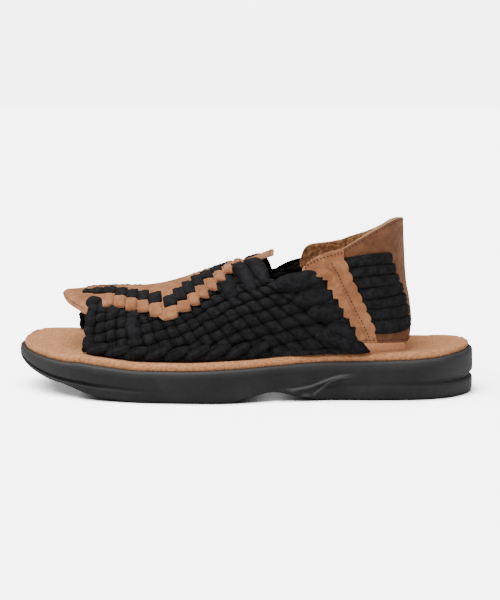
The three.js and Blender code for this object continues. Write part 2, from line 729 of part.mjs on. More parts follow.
function makeHeelCord(side, index) {
  const steps = 5;
  const base = COUNTER_OFFSET + LEATHER + CLEARANCE + CHORD_ALLOWANCE;
  const share = (index + 0.5) / CORD_COUNT;
  const lerp = (a, b, t) => a + (b - a) * t;
  const centreUp = {
    front: lerp(CORD_TOP.front, CORD_BOTTOM.front, share),
    back: lerp(CORD_TOP.back, CORD_BOTTOM.back, share),
  };
  const height = ((CORD_TOP.front - CORD_BOTTOM.front) * BACK_RISE) / CORD_COUNT - 2 * CLEARANCE;
  const panelShare = 0.06 + 0.86 * (1 - share);
  const startAt = read(PANEL_EDGE, 'up', 'rear', panelShare) + SCALLOP + SEAM_GAP / LENGTH;
  const start = Math.abs(strapTurn(startAt, side, toRise(centreUp.front)));
  const end = lerp(SLOT_LINE.top, SLOT_LINE.bottom, share);
  const points = [];
  const triangles = [];
  const size = CORD_SECTION.length;
  for (let i = 0; i <= steps; i += 1) {
    const along = i / steps;
    const taper = 0.8 + 0.2 * Math.sin(Math.PI * along);
    const centre = toRise(lerp(centreUp.front, centreUp.back, along));
    for (const { across, out } of CORD_SECTION) {
      const z = centre + across * height * taper;
      points.push(strapPoint(side * lerp(start, end, along), z, base + out * CORD_THICKNESS * taper));
    }
    if (i === 0) continue;
    for (let k = 0; k < size; k += 1) {
      const a = (i - 1) * size + k;
      const b = (i - 1) * size + ((k + 1) % size);
      triangles.push([a, b, b + size], [a, b + size, a + size]);
    }
  }
  for (let k = 1; k + 1 < size; k += 1) {
    triangles.push([0, k + 1, k], [steps * size, steps * size + k, steps * size + k + 1]);
  }
  return solidFrom(points, triangles);
}

// Chevron overlay on the vamp, with windows where black strips pass over it
function makeVampLeather() {
  const rows = 2 * CHEVRON_TEETH;
  const half = 4;
  const low = CHEVRON[0].at;
  const high = CHEVRON[CHEVRON.length - 1].at;
  const under = WEAVE_RELIEF + CLEARANCE + CHORD_ALLOWANCE;
  const placed = (at, reach, distance) => {
    const side = reach < 0 ? LATERAL : MEDIAL;
    return weaveOffset(at, side, 1 - Math.abs(reach), distance);
  };
  const point = (distance) => (i, j) => {
    const at = low + (high - low) * (i / rows);
    const reach = read(CHEVRON, 'at', 'reach', at);
    const tooth = i % 2 === 1 && at > 0.17 && at < 0.53 ? TOOTH_DEPTH : 0;
    return placed(at, ((reach + tooth) * (j - half)) / half, distance);
  };
  let leather = sheet(rows, 2 * half, point(under + LEATHER), point(under), () => true);
  const lengthShare = WINDOW_LENGTH / LENGTH / 2;
  for (const { at, down } of WINDOWS) {
    for (const side of [LATERAL, MEDIAL]) {
      const ends = [[-1, -1], [1, -1], [1, 1], [-1, 1]];
      const corners = [under - 1.5, under + LEATHER + 1.5].flatMap((distance) => ends.map(([a, b]) => (
        placed(at + a * lengthShare, side * (down + (b * WINDOW_SHARE) / 2), distance))));
      leather = leather.subtract(eightCorners(corners));
    }
  }
  return leather;
}

const MATERIALS = {
  sole: new THREE.MeshStandardMaterial({ color: 0x26272a, roughness: 0.75, metalness: 0 }),
  insole: new THREE.MeshStandardMaterial({ color: 0xb0764c, roughness: 0.95, metalness: 0 }),
  weave: new THREE.MeshStandardMaterial({ color: 0x17171a, roughness: 0.85, metalness: 0 }),
  leather: new THREE.MeshStandardMaterial({ color: 0xb98259, roughness: 0.9, metalness: 0 }),
};

const sandal = new THREE.Group();

function addPart(name, solid, material) {
  const mesh = solid.getMesh();
  const geometry = new THREE.BufferGeometry();
  const positions = new Float32Array(mesh.numVert * 3);
  for (let i = 0; i < mesh.numVert; i += 1) {
    for (let k = 0; k < 3; k += 1) positions[3 * i + k] = mesh.vertProperties[i * mesh.numProp + k];
  }
  geometry.setAttribute('position', new THREE.BufferAttribute(positions, 3));
  geometry.setIndex(new THREE.BufferAttribute(new Uint32Array(mesh.triVerts), 1));
  geometry.computeVertexNormals();
  const part = new THREE.Mesh(geometry, material);
  part.name = name;
  sandal.add(part);
}

addPart('outsole', makeOutsole(), MATERIALS.sole);
addPart('insole', makeInsole(), MATERIALS.insole);
addPart('upper', makeWeave().add(makeStrapLining()), MATERIALS.weave);
addPart('vamp_leather', makeVampLeather(), MATERIALS.leather);
addPart('heel_counter', makeHeelCounter(), MATERIALS.leather);
for (const [side, label] of [[LATERAL, 'lateral'], [MEDIAL, 'medial']]) {
  addPart(`side_panel_${label}`, makeSidePanel(side), MATERIALS.leather);
  for (let index = 0; index < CORD_COUNT; index += 1) {
    addPart(`heel_cord_${label}_${index + 1}`, makeHeelCord(side, index), MATERIALS.weave);
  }
}

export default sandal;
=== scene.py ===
import math
import random

import bmesh
import bpy
import numpy as np
from mathutils import Matrix, Vector


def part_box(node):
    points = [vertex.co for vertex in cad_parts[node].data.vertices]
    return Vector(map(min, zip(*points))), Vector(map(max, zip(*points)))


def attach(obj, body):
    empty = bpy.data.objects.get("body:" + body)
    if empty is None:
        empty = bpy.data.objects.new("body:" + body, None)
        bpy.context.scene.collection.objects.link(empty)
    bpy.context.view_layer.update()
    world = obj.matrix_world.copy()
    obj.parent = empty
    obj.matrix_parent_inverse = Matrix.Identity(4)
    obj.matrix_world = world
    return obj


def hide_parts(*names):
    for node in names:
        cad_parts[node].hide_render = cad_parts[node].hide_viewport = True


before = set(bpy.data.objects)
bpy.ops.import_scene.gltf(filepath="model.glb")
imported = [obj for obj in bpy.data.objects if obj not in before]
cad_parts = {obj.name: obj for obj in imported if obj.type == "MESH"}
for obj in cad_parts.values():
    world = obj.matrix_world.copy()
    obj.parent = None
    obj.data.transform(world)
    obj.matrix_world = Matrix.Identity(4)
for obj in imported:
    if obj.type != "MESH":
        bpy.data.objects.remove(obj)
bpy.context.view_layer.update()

# Camera: stands level with the shoe's outer side, a little above it, and looks slightly down.
# It was solved from the photograph, whose frame is 500 x 600.
SENSOR = 0.036
FRAME_LONG_SIDE = 600
FOCAL_PIXELS = 1342
CAMERA_PLACE = (0.0332, -0.8494, 0.183)
CAMERA_TILT = math.radians(8.45)
CAMERA_TURN = math.radians(2)

camera_data = bpy.data.cameras.new("camera")
camera_data.sensor_width = SENSOR * 1000
camera_data.lens = FOCAL_PIXELS * camera_data.sensor_width / FRAME_LONG_SIDE
camera = bpy.data.objects.new("camera", camera_data)
camera.location = CAMERA_PLACE
camera.rotation_euler = (math.pi / 2 - CAMERA_TILT, 0, CAMERA_TURN)
bpy.context.collection.objects.link(camera)
bpy.context.scene.camera = camera

# Floor and light: a pale seamless ground under one wide soft light from above, with a weak
# even light around. The ground and the sky show brighter than they light the shoe. Close beside
# the sole the ground's colour and glow are darkened by ambient occlusion: a painted contact shadow.
FLOOR_SIZE = 60
FLOOR_COLOUR = (0.82, 0.815, 0.815, 1)
FLOOR_SHOWN = (3.3, 3.24, 3.26, 1)
FLOOR_GLOW = 0.17
# Ambient occlusion that paints a contact shadow on the ground beside the sole: its reach, power,
# samples and shade colour
CONTACT_REACH = 0.006
CONTACT_POWER = 1.3
CONTACT_SAMPLES = 12
CONTACT_SHADE_COLOUR = (0.02, 0.02, 0.02, 1)
SKY_STRENGTH = 0.24
SKY_SHOWN = 6.0
SKY_COLOUR = (1, 0.985, 0.99, 1)
SUN_POWER = 5.6
SUN_WIDTH = math.radians(62)
SUN_FROM = Vector((-0.26, -0.22, 1))


def node_material(name, roughness):
    material = bpy.data.materials.new(name)
    material.use_nodes = True
    shader = material.node_tree.nodes["Principled BSDF"]
    shader.inputs["Roughness"].default_value = roughness
    return material, material.node_tree, shader


def add_node(tree, kind, **values):
    """A node with its inputs, or its own settings, given by name."""
    node = tree.nodes.new(kind)
    for key, value in values.items():
        if key in node.inputs:
            node.inputs[key].default_value = value
        else:
            setattr(node, key, value)
    return node


def join(tree, *pairs):
    """Links sockets: each pair is an output and the input that it feeds."""
    for output, entry in pairs:
        tree.links.new(output, entry)


floor_mesh = bmesh.new()
bmesh.ops.create_grid(floor_mesh, x_segments=2, y_segments=2, size=FLOOR_SIZE / 2)
floor_data = bpy.data.meshes.new("floor")
floor_mesh.to_mesh(floor_data)
floor_mesh.free()
floor = bpy.data.objects.new("floor", floor_data)
bpy.context.collection.objects.link(floor)
floor_material, floor_tree, floor_shader = node_material("pale_floor", 0.9)
floor_path = add_node(floor_tree, "ShaderNodeLightPath")
floor_tone = add_node(floor_tree, "ShaderNodeMix", data_type="RGBA", A=FLOOR_COLOUR, B=FLOOR_SHOWN)
floor_paper = add_node(floor_tree, "ShaderNodeBsdfDiffuse")
# Painted contact shadow: occlusion darkens the ground's colour towards the shade colour and dims
# its glow beside the sole
floor_contact = add_node(floor_tree, "ShaderNodeAmbientOcclusion", Distance=CONTACT_REACH)
floor_contact.samples = CONTACT_SAMPLES
floor_shade_share = add_node(floor_tree, "ShaderNodeMath", operation="POWER")
floor_shade_share.inputs[1].default_value = CONTACT_POWER
floor_painted_shade = add_node(floor_tree, "ShaderNodeMix", data_type="RGBA", A=CONTACT_SHADE_COLOUR)
floor_glow = add_node(floor_tree, "ShaderNodeEmission")
floor_seen = add_node(floor_tree, "ShaderNodeMath", operation="MULTIPLY")
floor_seen.inputs[1].default_value = FLOOR_GLOW
floor_sum = add_node(floor_tree, "ShaderNodeAddShader")
join(floor_tree,
     (floor_path.outputs["Is Camera Ray"], floor_tone.inputs["Factor"]),
     (floor_path.outputs["Is Camera Ray"], floor_seen.inputs[0]),
     (floor_contact.outputs["AO"], floor_shade_share.inputs[0]),
     (floor_shade_share.outputs["Value"], floor_painted_shade.inputs["Factor"]),
     (floor_shade_share.outputs["Value"], floor_glow.inputs["Color"]),
     (floor_tone.outputs["Result"], floor_painted_shade.inputs["B"]),
     (floor_painted_shade.outputs["Result"], floor_paper.inputs["Color"]),
     (floor_seen.outputs["Value"], floor_glow.inputs["Strength"]),
     (floor_paper.outputs["BSDF"], floor_sum.inputs[0]),
     (floor_glow.outputs["Emission"], floor_sum.inputs[1]),
     (floor_sum.outputs["Shader"], floor_tree.nodes["Material Output"].inputs["Surface"]))
floor_tree.nodes.remove(floor_shader)
floor_data.materials.append(floor_material)

world = bpy.data.worlds.new("studio")
world.use_nodes = True
world_tree = world.node_tree
sky = world_tree.nodes["Background"]
sky.inputs["Color"].default_value = SKY_COLOUR
sky_path = add_node(world_tree, "ShaderNodeLightPath")
sky_strength = add_node(world_tree, "ShaderNodeMix", A=SKY_STRENGTH, B=SKY_SHOWN)
join(world_tree,
     (sky_path.outputs["Is Camera Ray"], sky_strength.inputs["Factor"]),
     (sky_strength.outputs["Result"], sky.inputs["Strength"]))
bpy.context.scene.world = world
sun_data = bpy.data.lights.new("soft_light", "SUN")
sun_data.energy = SUN_POWER
sun_data.angle = SUN_WIDTH
sun = bpy.data.objects.new("soft_light", sun_data)
sun.rotation_euler = (-SUN_FROM).to_track_quat("-Z", "Y").to_euler()
bpy.context.collection.objects.link(sun)

# Outsole: one moulded unit of dark grey rubber with a raised rim, a groove along its side,
# an arch notch, two sweeping ribs into the heel, and a tread. The insole is cemented inside.
SOLE_LOW, SOLE_HIGH = (Vector(corner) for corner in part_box("outsole"))
LENGTH = SOLE_HIGH.x - SOLE_LOW.x
BALL_WIDTH = LENGTH * 0.3562
HEEL_WIDTH = LENGTH * 0.2466
SOLE_THICKNESS = 0.020
TOE_SPRING = 0.020
ARCH_RISE = 0.006
TOE_CANT = 0.0045
RIM_WIDTH = 0.003
EDGE_ROUND = 0.004
GROOVE_DEPTH = 0.0022
RIB_HEIGHT = 0.0014
TOE_ROUND = 0.0045
TOE_ROUND_HEIGHT = 0.35
TREAD_DEPTH = 0.0016
TREAD_WIDTH = 0.003
TREAD_REACH = 0.62
# Share of the length from the toe, then the two sides as shares of the local width
OUTLINE = (
    (0, 0.075, 0.075), (0.02, -0.115, 0.24), (0.062, -0.25, 0.36), (0.113, -0.345, 0.435),
    (0.2, -0.435, 0.485), (0.31, -0.49, 0.5), (0.4, -0.5, 0.47), (0.54, -0.505, 0.435),
    (0.66, -0.525, 0.475), (0.76, -0.53, 0.49), (0.853, -0.51, 0.49), (0.92, -0.44, 0.43),
    (0.97, -0.29, 0.29), (1, 0, 0),
)
# Share of the length, then toe spring, arch on each side, thickness, inner lift at the toe, groove
SOLE_SIDE = (
    (0, 1, 0, 0, 0.33, 0.5, 1), (0.039, 0.62, 0, 0, 0.625, 0.9, 1),
    (0.0825, 0.365, 0, 0, 0.79, 1, 1),
    (0.123, 0.24, 0, 0, 0.87, 1, 1), (0.1616, 0.14, 0, 0, 0.975, 0.9, 1),
    (0.2168, 0.06, 0, 0, 0.98, 0.6, 0.7), (0.29, 0, 0, 0, 0.97, 0.2, 0.3),
    (0.37, 0, 0, 0, 0.97, 0, 0), (0.47, 0, 0, 0, 1.03, 0, 0), (0.515, 0, 0.5, 0.7, 1.055, 0, 0),
    (0.567, 0, 1, 1.35, 1.1, 0, 0), (0.62, 0, 0.45, 0.65, 1.15, 0, 0.1),
    (0.665, 0, 0, 0, 1.18, 0, 0.2),
    (0.79, 0, 0, 0, 1.215, 0, 0.25), (0.896, 0, 0, 0, 1.26, 0, 0.5), (0.97, 0.02, 0, 0, 1.35, 0, 1),
    (1, 0.06, 0, 0, 1.38, 0, 1),
)
LATERAL = -1
MEDIAL = 1
SIDES = ((LATERAL, "lateral"), (MEDIAL, "medial"))
WIDTH_CHANGE = (0.42, 0.72)
TIP_BLEND = 0.012
TURN_STEP = 0.004
# Where the toe's underside curves up, the most of the side that it may take and how it fades
TOE_ROUND_AT = (0.215, 0.09)
TOE_ROUND_MOST = 0.23
TOE_ROUND_FADE = 1.5
# The hollow in the heel's side: depth, height share and half height
RECESS_DEPTH = 0.0011
RECESS_HEIGHT = 0.42
RECESS_HALF = 0.16


def smoothstep(start, end, value):
    t = np.clip((value - start) / (end - start), 0, 1)
    return t * t * (3 - 2 * t)


def side_of(value):
    return LATERAL if value < 0 else MEDIAL


def side_column(side, first=1):
    """A side's column, in a table that gives the outer side first."""
    return first if side == LATERAL else first + 1


def read(table, column, value):
    """A column of a table between its rows, with a smooth curve that doesn't overshoot."""
    if value <= table[0][0]:
        return table[0][column]
    if value >= table[-1][0]:
        return table[-1][column]
    i = 0
    while table[i + 1][0] < value:
        i += 1

    def slope(a):
        return (table[a + 1][column] - table[a][column]) / (table[a + 1][0] - table[a][0])

    mid = slope(i)
    m0 = mid
    m1 = mid
    if i > 0:
        m0 = 0 if slope(i - 1) * mid <= 0 else 2 * slope(i - 1) * mid / (slope(i - 1) + mid)
    if i < len(table) - 2:
        m1 = 0 if slope(i + 1) * mid <= 0 else 2 * slope(i + 1) * mid / (slope(i + 1) + mid)
    step = table[i + 1][0] - table[i][0]
    t = (value - table[i][0]) / step
    start = (2 * t ** 3 - 3 * t ** 2 + 1) * table[i][column] + (t ** 3 - 2 * t ** 2 + t) * step * m0
    end = (3 * t ** 2 - 2 * t ** 3) * table[i + 1][column] + (t ** 3 - t ** 2) * step * m1
    return start + end


OUTLINE_BY_ANGLE = [(math.acos(1 - 2 * at), lateral, medial) for at, lateral, medial in OUTLINE]


def to_x(at):
    return (at - 0.5) * LENGTH


def outline_y(at, side):
    angle = math.acos(1 - 2 * min(max(at, 0), 1))
    width = BALL_WIDTH + (HEEL_WIDTH - BALL_WIDTH) * smoothstep(*WIDTH_CHANGE, at)
    return width * read(OUTLINE_BY_ANGLE, side_column(side), angle)


def sole_bottom(at, side):
    arch = read(SOLE_SIDE, side_column(side, 2), at)
    return TOE_SPRING * read(SOLE_SIDE, 1, at) + ARCH_RISE * arch


def rim_top(at, side):
    cant = TOE_CANT * read(SOLE_SIDE, 5, at) if side == MEDIAL else 0
    return TOE_SPRING * read(SOLE_SIDE, 1, at) + SOLE_THICKNESS * read(SOLE_SIDE, 4, at) + cant


def outline_place(turn):
    """A place on the outline: turn 0 at the toe, 0.5 at the heel, 1 at the toe again.
    It gives the point, the inward direction and the share of the length."""
    def at_turn(t):
        t = t % 1
        side = LATERAL if t <= 0.5 else MEDIAL
        at = (1 - math.cos(2 * math.pi * t)) / 2
        return at, side, Vector((to_x(at), outline_y(at, side)))

    at, side, point = at_turn(turn)
    along = at_turn(turn + TURN_STEP)[2] - at_turn(turn - TURN_STEP)[2]
    along.normalize()
    return at, side, point, Vector((-along.y, along.x))


def both_sides(height, at, side):
    """At the two tips the sides meet, so a height is blended into the mean of both sides."""
    edge = min(at, 1 - at)
    share = 0.5 + 0.5 * min(edge / TIP_BLEND, 1)
    return height(at, side) * share + height(at, -side) * (1 - share)


def add_piece(name, mesh, material, nodes=()):
    """A bmesh becomes an object that rides on the shoe and stands for its CAD nodes."""
    data = bpy.data.meshes.new(name)
    mesh.to_mesh(data)
    mesh.free()
    for polygon in data.polygons:
        polygon.use_smooth = True
    data.materials.append(material)
    piece = bpy.data.objects.new(name, data)
    bpy.context.collection.objects.link(piece)
    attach(piece, "root")
    if nodes:
        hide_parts(*nodes)
    return piece


def closed_shell(levels, steps, place, bottom_shares, top_shares):
    """Rings around the sole, one above the other, closed below and above onto a middle line."""
    rows = [(0, share) for share in reversed(bottom_shares)]
    rows += [(level, 0) for level in range(levels)]
    rows += [(levels - 1, share) for share in top_shares]
    mesh = bmesh.new()
    bmesh.ops.create_grid(mesh, x_segments=steps, y_segments=len(rows) - 1, size=0.5)
    for vertex in mesh.verts:
        turn = vertex.co.x + 0.5
        level, share = rows[round((vertex.co.y + 0.5) * (len(rows) - 1))]
        vertex.co = place(turn, level)
        if share:
            middle = (vertex.co + place(1 - turn, level)) / 2
            vertex.co = vertex.co.lerp(middle, share)
    bmesh.ops.remove_doubles(mesh, verts=mesh.verts, dist=1e-6)
    bmesh.ops.recalc_face_normals(mesh, faces=mesh.faces)
    return mesh


# Height share of the side wall, its inset and how far the groove reaches in there
SOLE_PROFILE = (
    (0, 0.4, 0), (0.015, 0.16, 0), (0.04, 0.06, 0), (0.1, 0.02, 0), (0.2, 0, 0), (0.28, 0, 0.05),
    (0.325, 0, 0.35), (0.355, 0, 0.8), (0.385, 0, 1), (0.415, 0, 0.8), (0.445, 0, 0.3),
    (0.48, 0, 0),
    (0.58, 0, 0), (0.72, 0.03, 0), (0.84, 0.06, 0), (0.93, 0.1, 0), (0.965, 0.2, 0),
    (0.985, 0.34, 0),
    (1, 0.5, 0), (1.003, 0.62, 0), (1.0, 0.72, 0), (0.94, 0.8, 0),
)
# The part of the side that carries the groove and the ribs is divided finely
FINE_LEVELS = 44
FINE_FROM = 0.2
FINE_TO = 0.84
FINE_ROWS = 15
SOLE_LEVELS = [row for row in SOLE_PROFILE if row[0] < FINE_FROM]
for height in np.linspace(FINE_FROM, FINE_TO, FINE_LEVELS):
    SOLE_LEVELS.append((height, *(read(SOLE_PROFILE[:FINE_ROWS], k, height) for k in (1, 2))))
SOLE_LEVELS += SOLE_PROFILE[FINE_ROWS:]
SOLE_TURNS = 720
BOTTOM_SHARES = (0.06, 0.2, 0.36, 0.5, 0.7, 1)
TREAD = (0.2, 0.24, 0.28, 0.32, 0.36, 0.4, 0.44, 0.7, 0.74, 0.78, 0.82, 0.86)
# Two ribs sweep from the bottom edge up and back into the heel: length share, height share
RIBS = {
    "long": ((0.575, 0.12), (0.6, 0.18), (0.635, 0.32), (0.675, 0.52), (0.71, 0.64), (0.75, 0.68)),
    "short": ((0.62, 0.04), (0.645, 0.13), (0.665, 0.3), (0.685, 0.5), (0.71, 0.6), (0.75, 0.62)),
}
RIB_HALF = 0.03


def rib_lift(at, height):
    """How far the swept ribs stand out of the heel's side."""
    lift = 0
    for line in RIBS.values():
        if line[0][0] <= at <= line[-1][0]:
            gap = (height - read(line, 1, at)) / RIB_HALF
            fade = smoothstep(line[0][0], line[0][0] + 0.01, at) * (1 - smoothstep(0.70, 0.745, at))
            lift = max(lift, math.exp(-gap * gap) * fade)
    return lift * RIB_HEIGHT


def heel_recess(at, height):
    """The side is hollowed between the groove and the foot of the heel."""
    if at < 0.62:
        return 0
    share = smoothstep(0.66, 0.72, at) * (1 - smoothstep(0.93, 0.985, at))
    middle = math.exp(-((height - RECESS_HEIGHT) / RECESS_HALF) ** 2)
    return RECESS_DEPTH * share * middle


def sole_point(turn, level):
    at, side, point, inward = outline_place(turn)
    height, inset, groove = SOLE_LEVELS[level]
    bottom = both_sides(sole_bottom, at, side)
    top = both_sides(rim_top, at, side)
    depth = inset * EDGE_ROUND + groove * GROOVE_DEPTH * read(SOLE_SIDE, 6, at)
    if height < 0.95:
        depth += heel_recess(at, height) - rib_lift(at, height)
    if level >= len(SOLE_LEVELS) - 5:
        depth = (0.3 + 0.7 * (inset - 0.1) / 0.7) * RIM_WIDTH
    place = point + inward * depth
    lift = min(TOE_ROUND * smoothstep(*TOE_ROUND_AT, at), TOE_ROUND_MOST * (top - bottom))
    lift *= max(1 - height / TOE_ROUND_HEIGHT, 0) ** TOE_ROUND_FADE
    return Vector((place.x, place.y, bottom + (top - bottom) * height + lift))


sole_mesh = closed_shell(len(SOLE_LEVELS), SOLE_TURNS, sole_point, BOTTOM_SHARES, (0.5, 1))
# Lighter rubber: on the ribs partly wear and partly painted highlight; on the rim's upper side, the
# toe and the heel end painted highlight where the light falls
wear_and_highlight = sole_mesh.verts.layers.float.new("wear_and_highlight")
for vertex in sole_mesh.verts:
    at = vertex.co.x / LENGTH + 0.5
    side = side_of(vertex.co.y)
    bottom, top = sole_bottom(at, side), rim_top(at, side)
    height = (vertex.co.z - bottom) / (top - bottom)
    vertex[wear_and_highlight] = max(rib_lift(at, height) / RIB_HEIGHT, 0.34 * smoothstep(0.72, 1, height),
                       0.34 * smoothstep(0.2, 0.02, at), 0.4 * smoothstep(0.86, 0.99, at))
for vertex in sole_mesh.verts:
    at = vertex.co.x / LENGTH + 0.5
    floor_height = max(sole_bottom(at, LATERAL), sole_bottom(at, MEDIAL)) + 0.0005
    if vertex.co.z > floor_height:
        continue
    outer, inner = (outline_y(at, each) * TREAD_REACH for each in (LATERAL, MEDIAL))
    inside = outer < vertex.co.y < inner
    gap = min(abs(at - groove) for groove in TREAD) * LENGTH
    if inside and gap < TREAD_WIDTH / 2:
        vertex.co.z += TREAD_DEPTH


def noise(tree, scale, detail=3, roughness=0.55):
    """A noise texture on the piece's own coordinates."""
    source = add_node(tree, "ShaderNodeTexCoord")
    texture = add_node(tree, "ShaderNodeTexNoise", Scale=scale, Detail=detail, Roughness=roughness)
    tree.links.new(source.outputs["Object"], texture.inputs["Vector"])
    return texture


def ramp(tree, source, stops):
    """A colour ramp over a texture: stops are (place, colour)."""
    node = add_node(tree, "ShaderNodeValToRGB")
    while len(node.color_ramp.elements) < len(stops):
        node.color_ramp.elements.new(0.5)
    for element, (place, colour) in zip(node.color_ramp.elements, stops):
        element.position = place
        element.color = (*colour, 1)
    tree.links.new(source, node.inputs["Fac"])
    return node


def bump(tree, shader, height, strength, distance, after=None):
    """A bump from a height, on top of the one that it comes after."""
    node = add_node(tree, "ShaderNodeBump", Strength=strength, Distance=distance)
    tree.links.new(height, node.inputs["Height"])
    if after:
        tree.links.new(after.outputs["Normal"], node.inputs["Normal"])
    tree.links.new(node.outputs["Normal"], shader.inputs["Normal"])
    return node


# Light grey of the worn and painted-highlight rubber
WEAR_AND_HIGHLIGHT_RUBBER = (0.068, 0.068, 0.069, 1)
RUBBER_STOPS = (
    (0.3, (0.0078, 0.0078, 0.0082)), (0.55, (0.0122, 0.0122, 0.0129)),
    (0.75, (0.0185, 0.0187, 0.0193)),
)
rubber, rubber_tree, rubber_shader = node_material("moulded_rubber", 0.62)
rubber_cloud = noise(rubber_tree, 70, 5)
rubber_colour = ramp(rubber_tree, rubber_cloud.outputs["Fac"], RUBBER_STOPS)
rubber_wear_and_highlight = add_node(rubber_tree, "ShaderNodeAttribute", attribute_name="wear_and_highlight")
rubber_mix = add_node(rubber_tree, "ShaderNodeMix", data_type="RGBA", B=WEAR_AND_HIGHLIGHT_RUBBER)
join(rubber_tree,
     (rubber_wear_and_highlight.outputs["Fac"], rubber_mix.inputs["Factor"]),
     (rubber_colour.outputs["Color"], rubber_mix.inputs["A"]),
     (rubber_mix.outputs["Result"], rubber_shader.inputs["Base Color"]))
rubber_shader.inputs["Specular IOR Level"].default_value = 0.3
rubber_grain = noise(rubber_tree, 1900, 2)
bump(rubber_tree, rubber_shader, rubber_grain.outputs["Fac"], 0.35, 0.0004)
add_piece("outsole_rubber", sole_mesh, rubber, ("outsole",))

# Insole: a footbed covered in tan suede, rounded over at its edge and slightly dished,
# cemented inside the rim of the outsole.
INSOLE_LIP = 0.0046
INSOLE_DISH = 0.0016
LIP_INSET = RIM_WIDTH + 0.0035
EDGE_TOLERANCE = INSOLE_LIP * 0.1
FOOT_GAP = 0.00065
DISH_SHARES = (0.06, 0.14, 0.25, 0.4, 0.6, 0.8, 1)
# Inset beyond the rim and rise over the rim's top, from the seat up over the rounded edge
INSOLE_EDGE = (
    (0.0007, -0.0006), (0.0001, 0.0004), (-0.0001, 0.0014), (0.0001, 0.0025), (0.0006, 0.0034),
    (0.0013, 0.004), (0.0022, 0.0044), (0.0035, 0.0046),
)


def insole_top(x, y):
    at = x / LENGTH + 0.5
    start = outline_y(at, LATERAL) + LIP_INSET
    end = outline_y(at, MEDIAL) - LIP_INSET
    across = min(max((y - start) / max(end - start, 0.001), 0), 1)
    rim = rim_top(at, LATERAL) * (1 - across) + rim_top(at, MEDIAL) * across
    return rim + INSOLE_LIP - INSOLE_DISH * 4 * across * (1 - across)


def insole_point(turn, level):
    at, side, point, inward = outline_place(turn)
    inset, rise = INSOLE_EDGE[level]
    place = point + inward * (RIM_WIDTH + inset)
    return Vector((place.x, place.y, both_sides(rim_top, at, side) + rise))


insole_mesh = closed_shell(len(INSOLE_EDGE), SOLE_TURNS, insole_point, (1,), DISH_SHARES)
for vertex in insole_mesh.verts:
    top = insole_top(vertex.co.x, vertex.co.y)
    if vertex.co.z > top - EDGE_TOLERANCE:
        vertex.co.z = top
SUEDE_STOPS = ((0.3, (0.3, 0.115, 0.045)), (0.48, (0.47, 0.2, 0.084)), (0.68, (0.64, 0.31, 0.147)))


def leather_material(name, stops, cloud_scale, grain_scale, grain_strength, lumps=0.8):
    """Napped leather: blotches where the nap lies differently, and a fine grain."""
    material, tree, shader = node_material(name, 0.88)
    cloud = noise(tree, cloud_scale, 6, 0.62)
    colour = ramp(tree, cloud.outputs["Fac"], stops)
    tree.links.new(colour.outputs["Color"], shader.inputs["Base Color"])
    grain = noise(tree, grain_scale, 3, 0.6)
    soft = noise(tree, grain_scale / 9, 4, 0.6)
    first = bump(tree, shader, soft.outputs["Fac"], grain_strength * lumps, 0.0012)
    bump(tree, shader, grain.outputs["Fac"], grain_strength, 0.0005, first)
    shader.inputs["Sheen Weight"].default_value = 0.18
    shader.inputs["Sheen Roughness"].default_value = 0.6
    shader.inputs["Sheen Tint"].default_value = (0.85, 0.6, 0.42, 1)
    shader.inputs["Specular IOR Level"].default_value = 0.25
    return material


insole_suede = leather_material("insole_suede", SUEDE_STOPS, 620, 2000, 0.5, 0.12)
add_piece("insole_suede", insole_mesh, insole_suede, ("insole",))

# Woven upper: soft tubular webbing of black nylon. One set of strands falls rearwards from the
# crown to the sole, the other rises rearwards from the sole to the collar, over one, under one.
INSTEP_RISE = 0.057
CROWN_SHIFT = 0.003
BACK_RISE = 0.083
WEAVE_WALL = 0.003
LINING = 0.0016
STRAP_WIDTH = HEEL_WIDTH - 0.006
STRAP_BEND_AT = 0.705
STRAP_ROUND = 2.3
STRAP_FRONT_AT = 0.6286
COLLAR_SHARE = 8 / 14
# Share of the length, foot inset on each side as share of ball width, crown rise, roundness
VAMP = (
    (0.1, 0.125, 0.072, 0.522, 2.3), (0.15, 0.12, 0.077, 0.59, 2.3),
    (0.2246, 0.11, 0.087, 0.66, 2.3),
    (0.3136, 0.1, 0.091, 0.728, 2.35), (0.402, 0.093, 0.087, 0.862, 2.4),
    (0.49, 0.087, 0.077, 0.972, 2.5), (0.56, 0.072, 0.0625, 1, 2.6), (0.77, 0.048, 0.048, 1, 2.6),
)
COLLAR = ((0.54, 0.545), (0.6, 0.575), (0.64, 0.597), (0.67, 0.6))
# Height as share of back rise, half width as share of strap width, place of the heel's back
STRAP_PROFILE = (
    (-0.1, 0.545, 0.844), (0.02, 0.54, 0.849), (0.1, 0.535, 0.856), (0.22, 0.53, 0.8585),
    (0.37, 0.52, 0.854), (0.52, 0.51, 0.846), (0.65, 0.5, 0.8425), (0.8, 0.485, 0.84),
    (1.02, 0.465, 0.837),
)
# Edges of the weave: front edge by side, rear edge under the side panel, throat edge
FRONT_EDGE = ((0, 0.153, 0.103), (0.25, 0.161, 0.125), (0.5, 0.166, 0.142), (1, 0.142, 0.142))
REAR_EDGE = ((0, 0.768), (0.1, 0.7525), (0.2, 0.7405), (0.6, 0.711), (1, 0.669))
THROAT_EDGE = ((0, 0.55), (0.35, 0.532), (0.7, 0.505), (1, 0.545))
# The wall stands on the insole and leans out from there
FOOT_INSET = 0.0035
FOOT_SPREAD = 0.5
ARCH_SAMPLES = 24
WALL_START = 0.09
WALL_END = 0.8
SEAT = insole_top(to_x(0.8), 0)


def to_rise(up):
    return SEAT + BACK_RISE * up


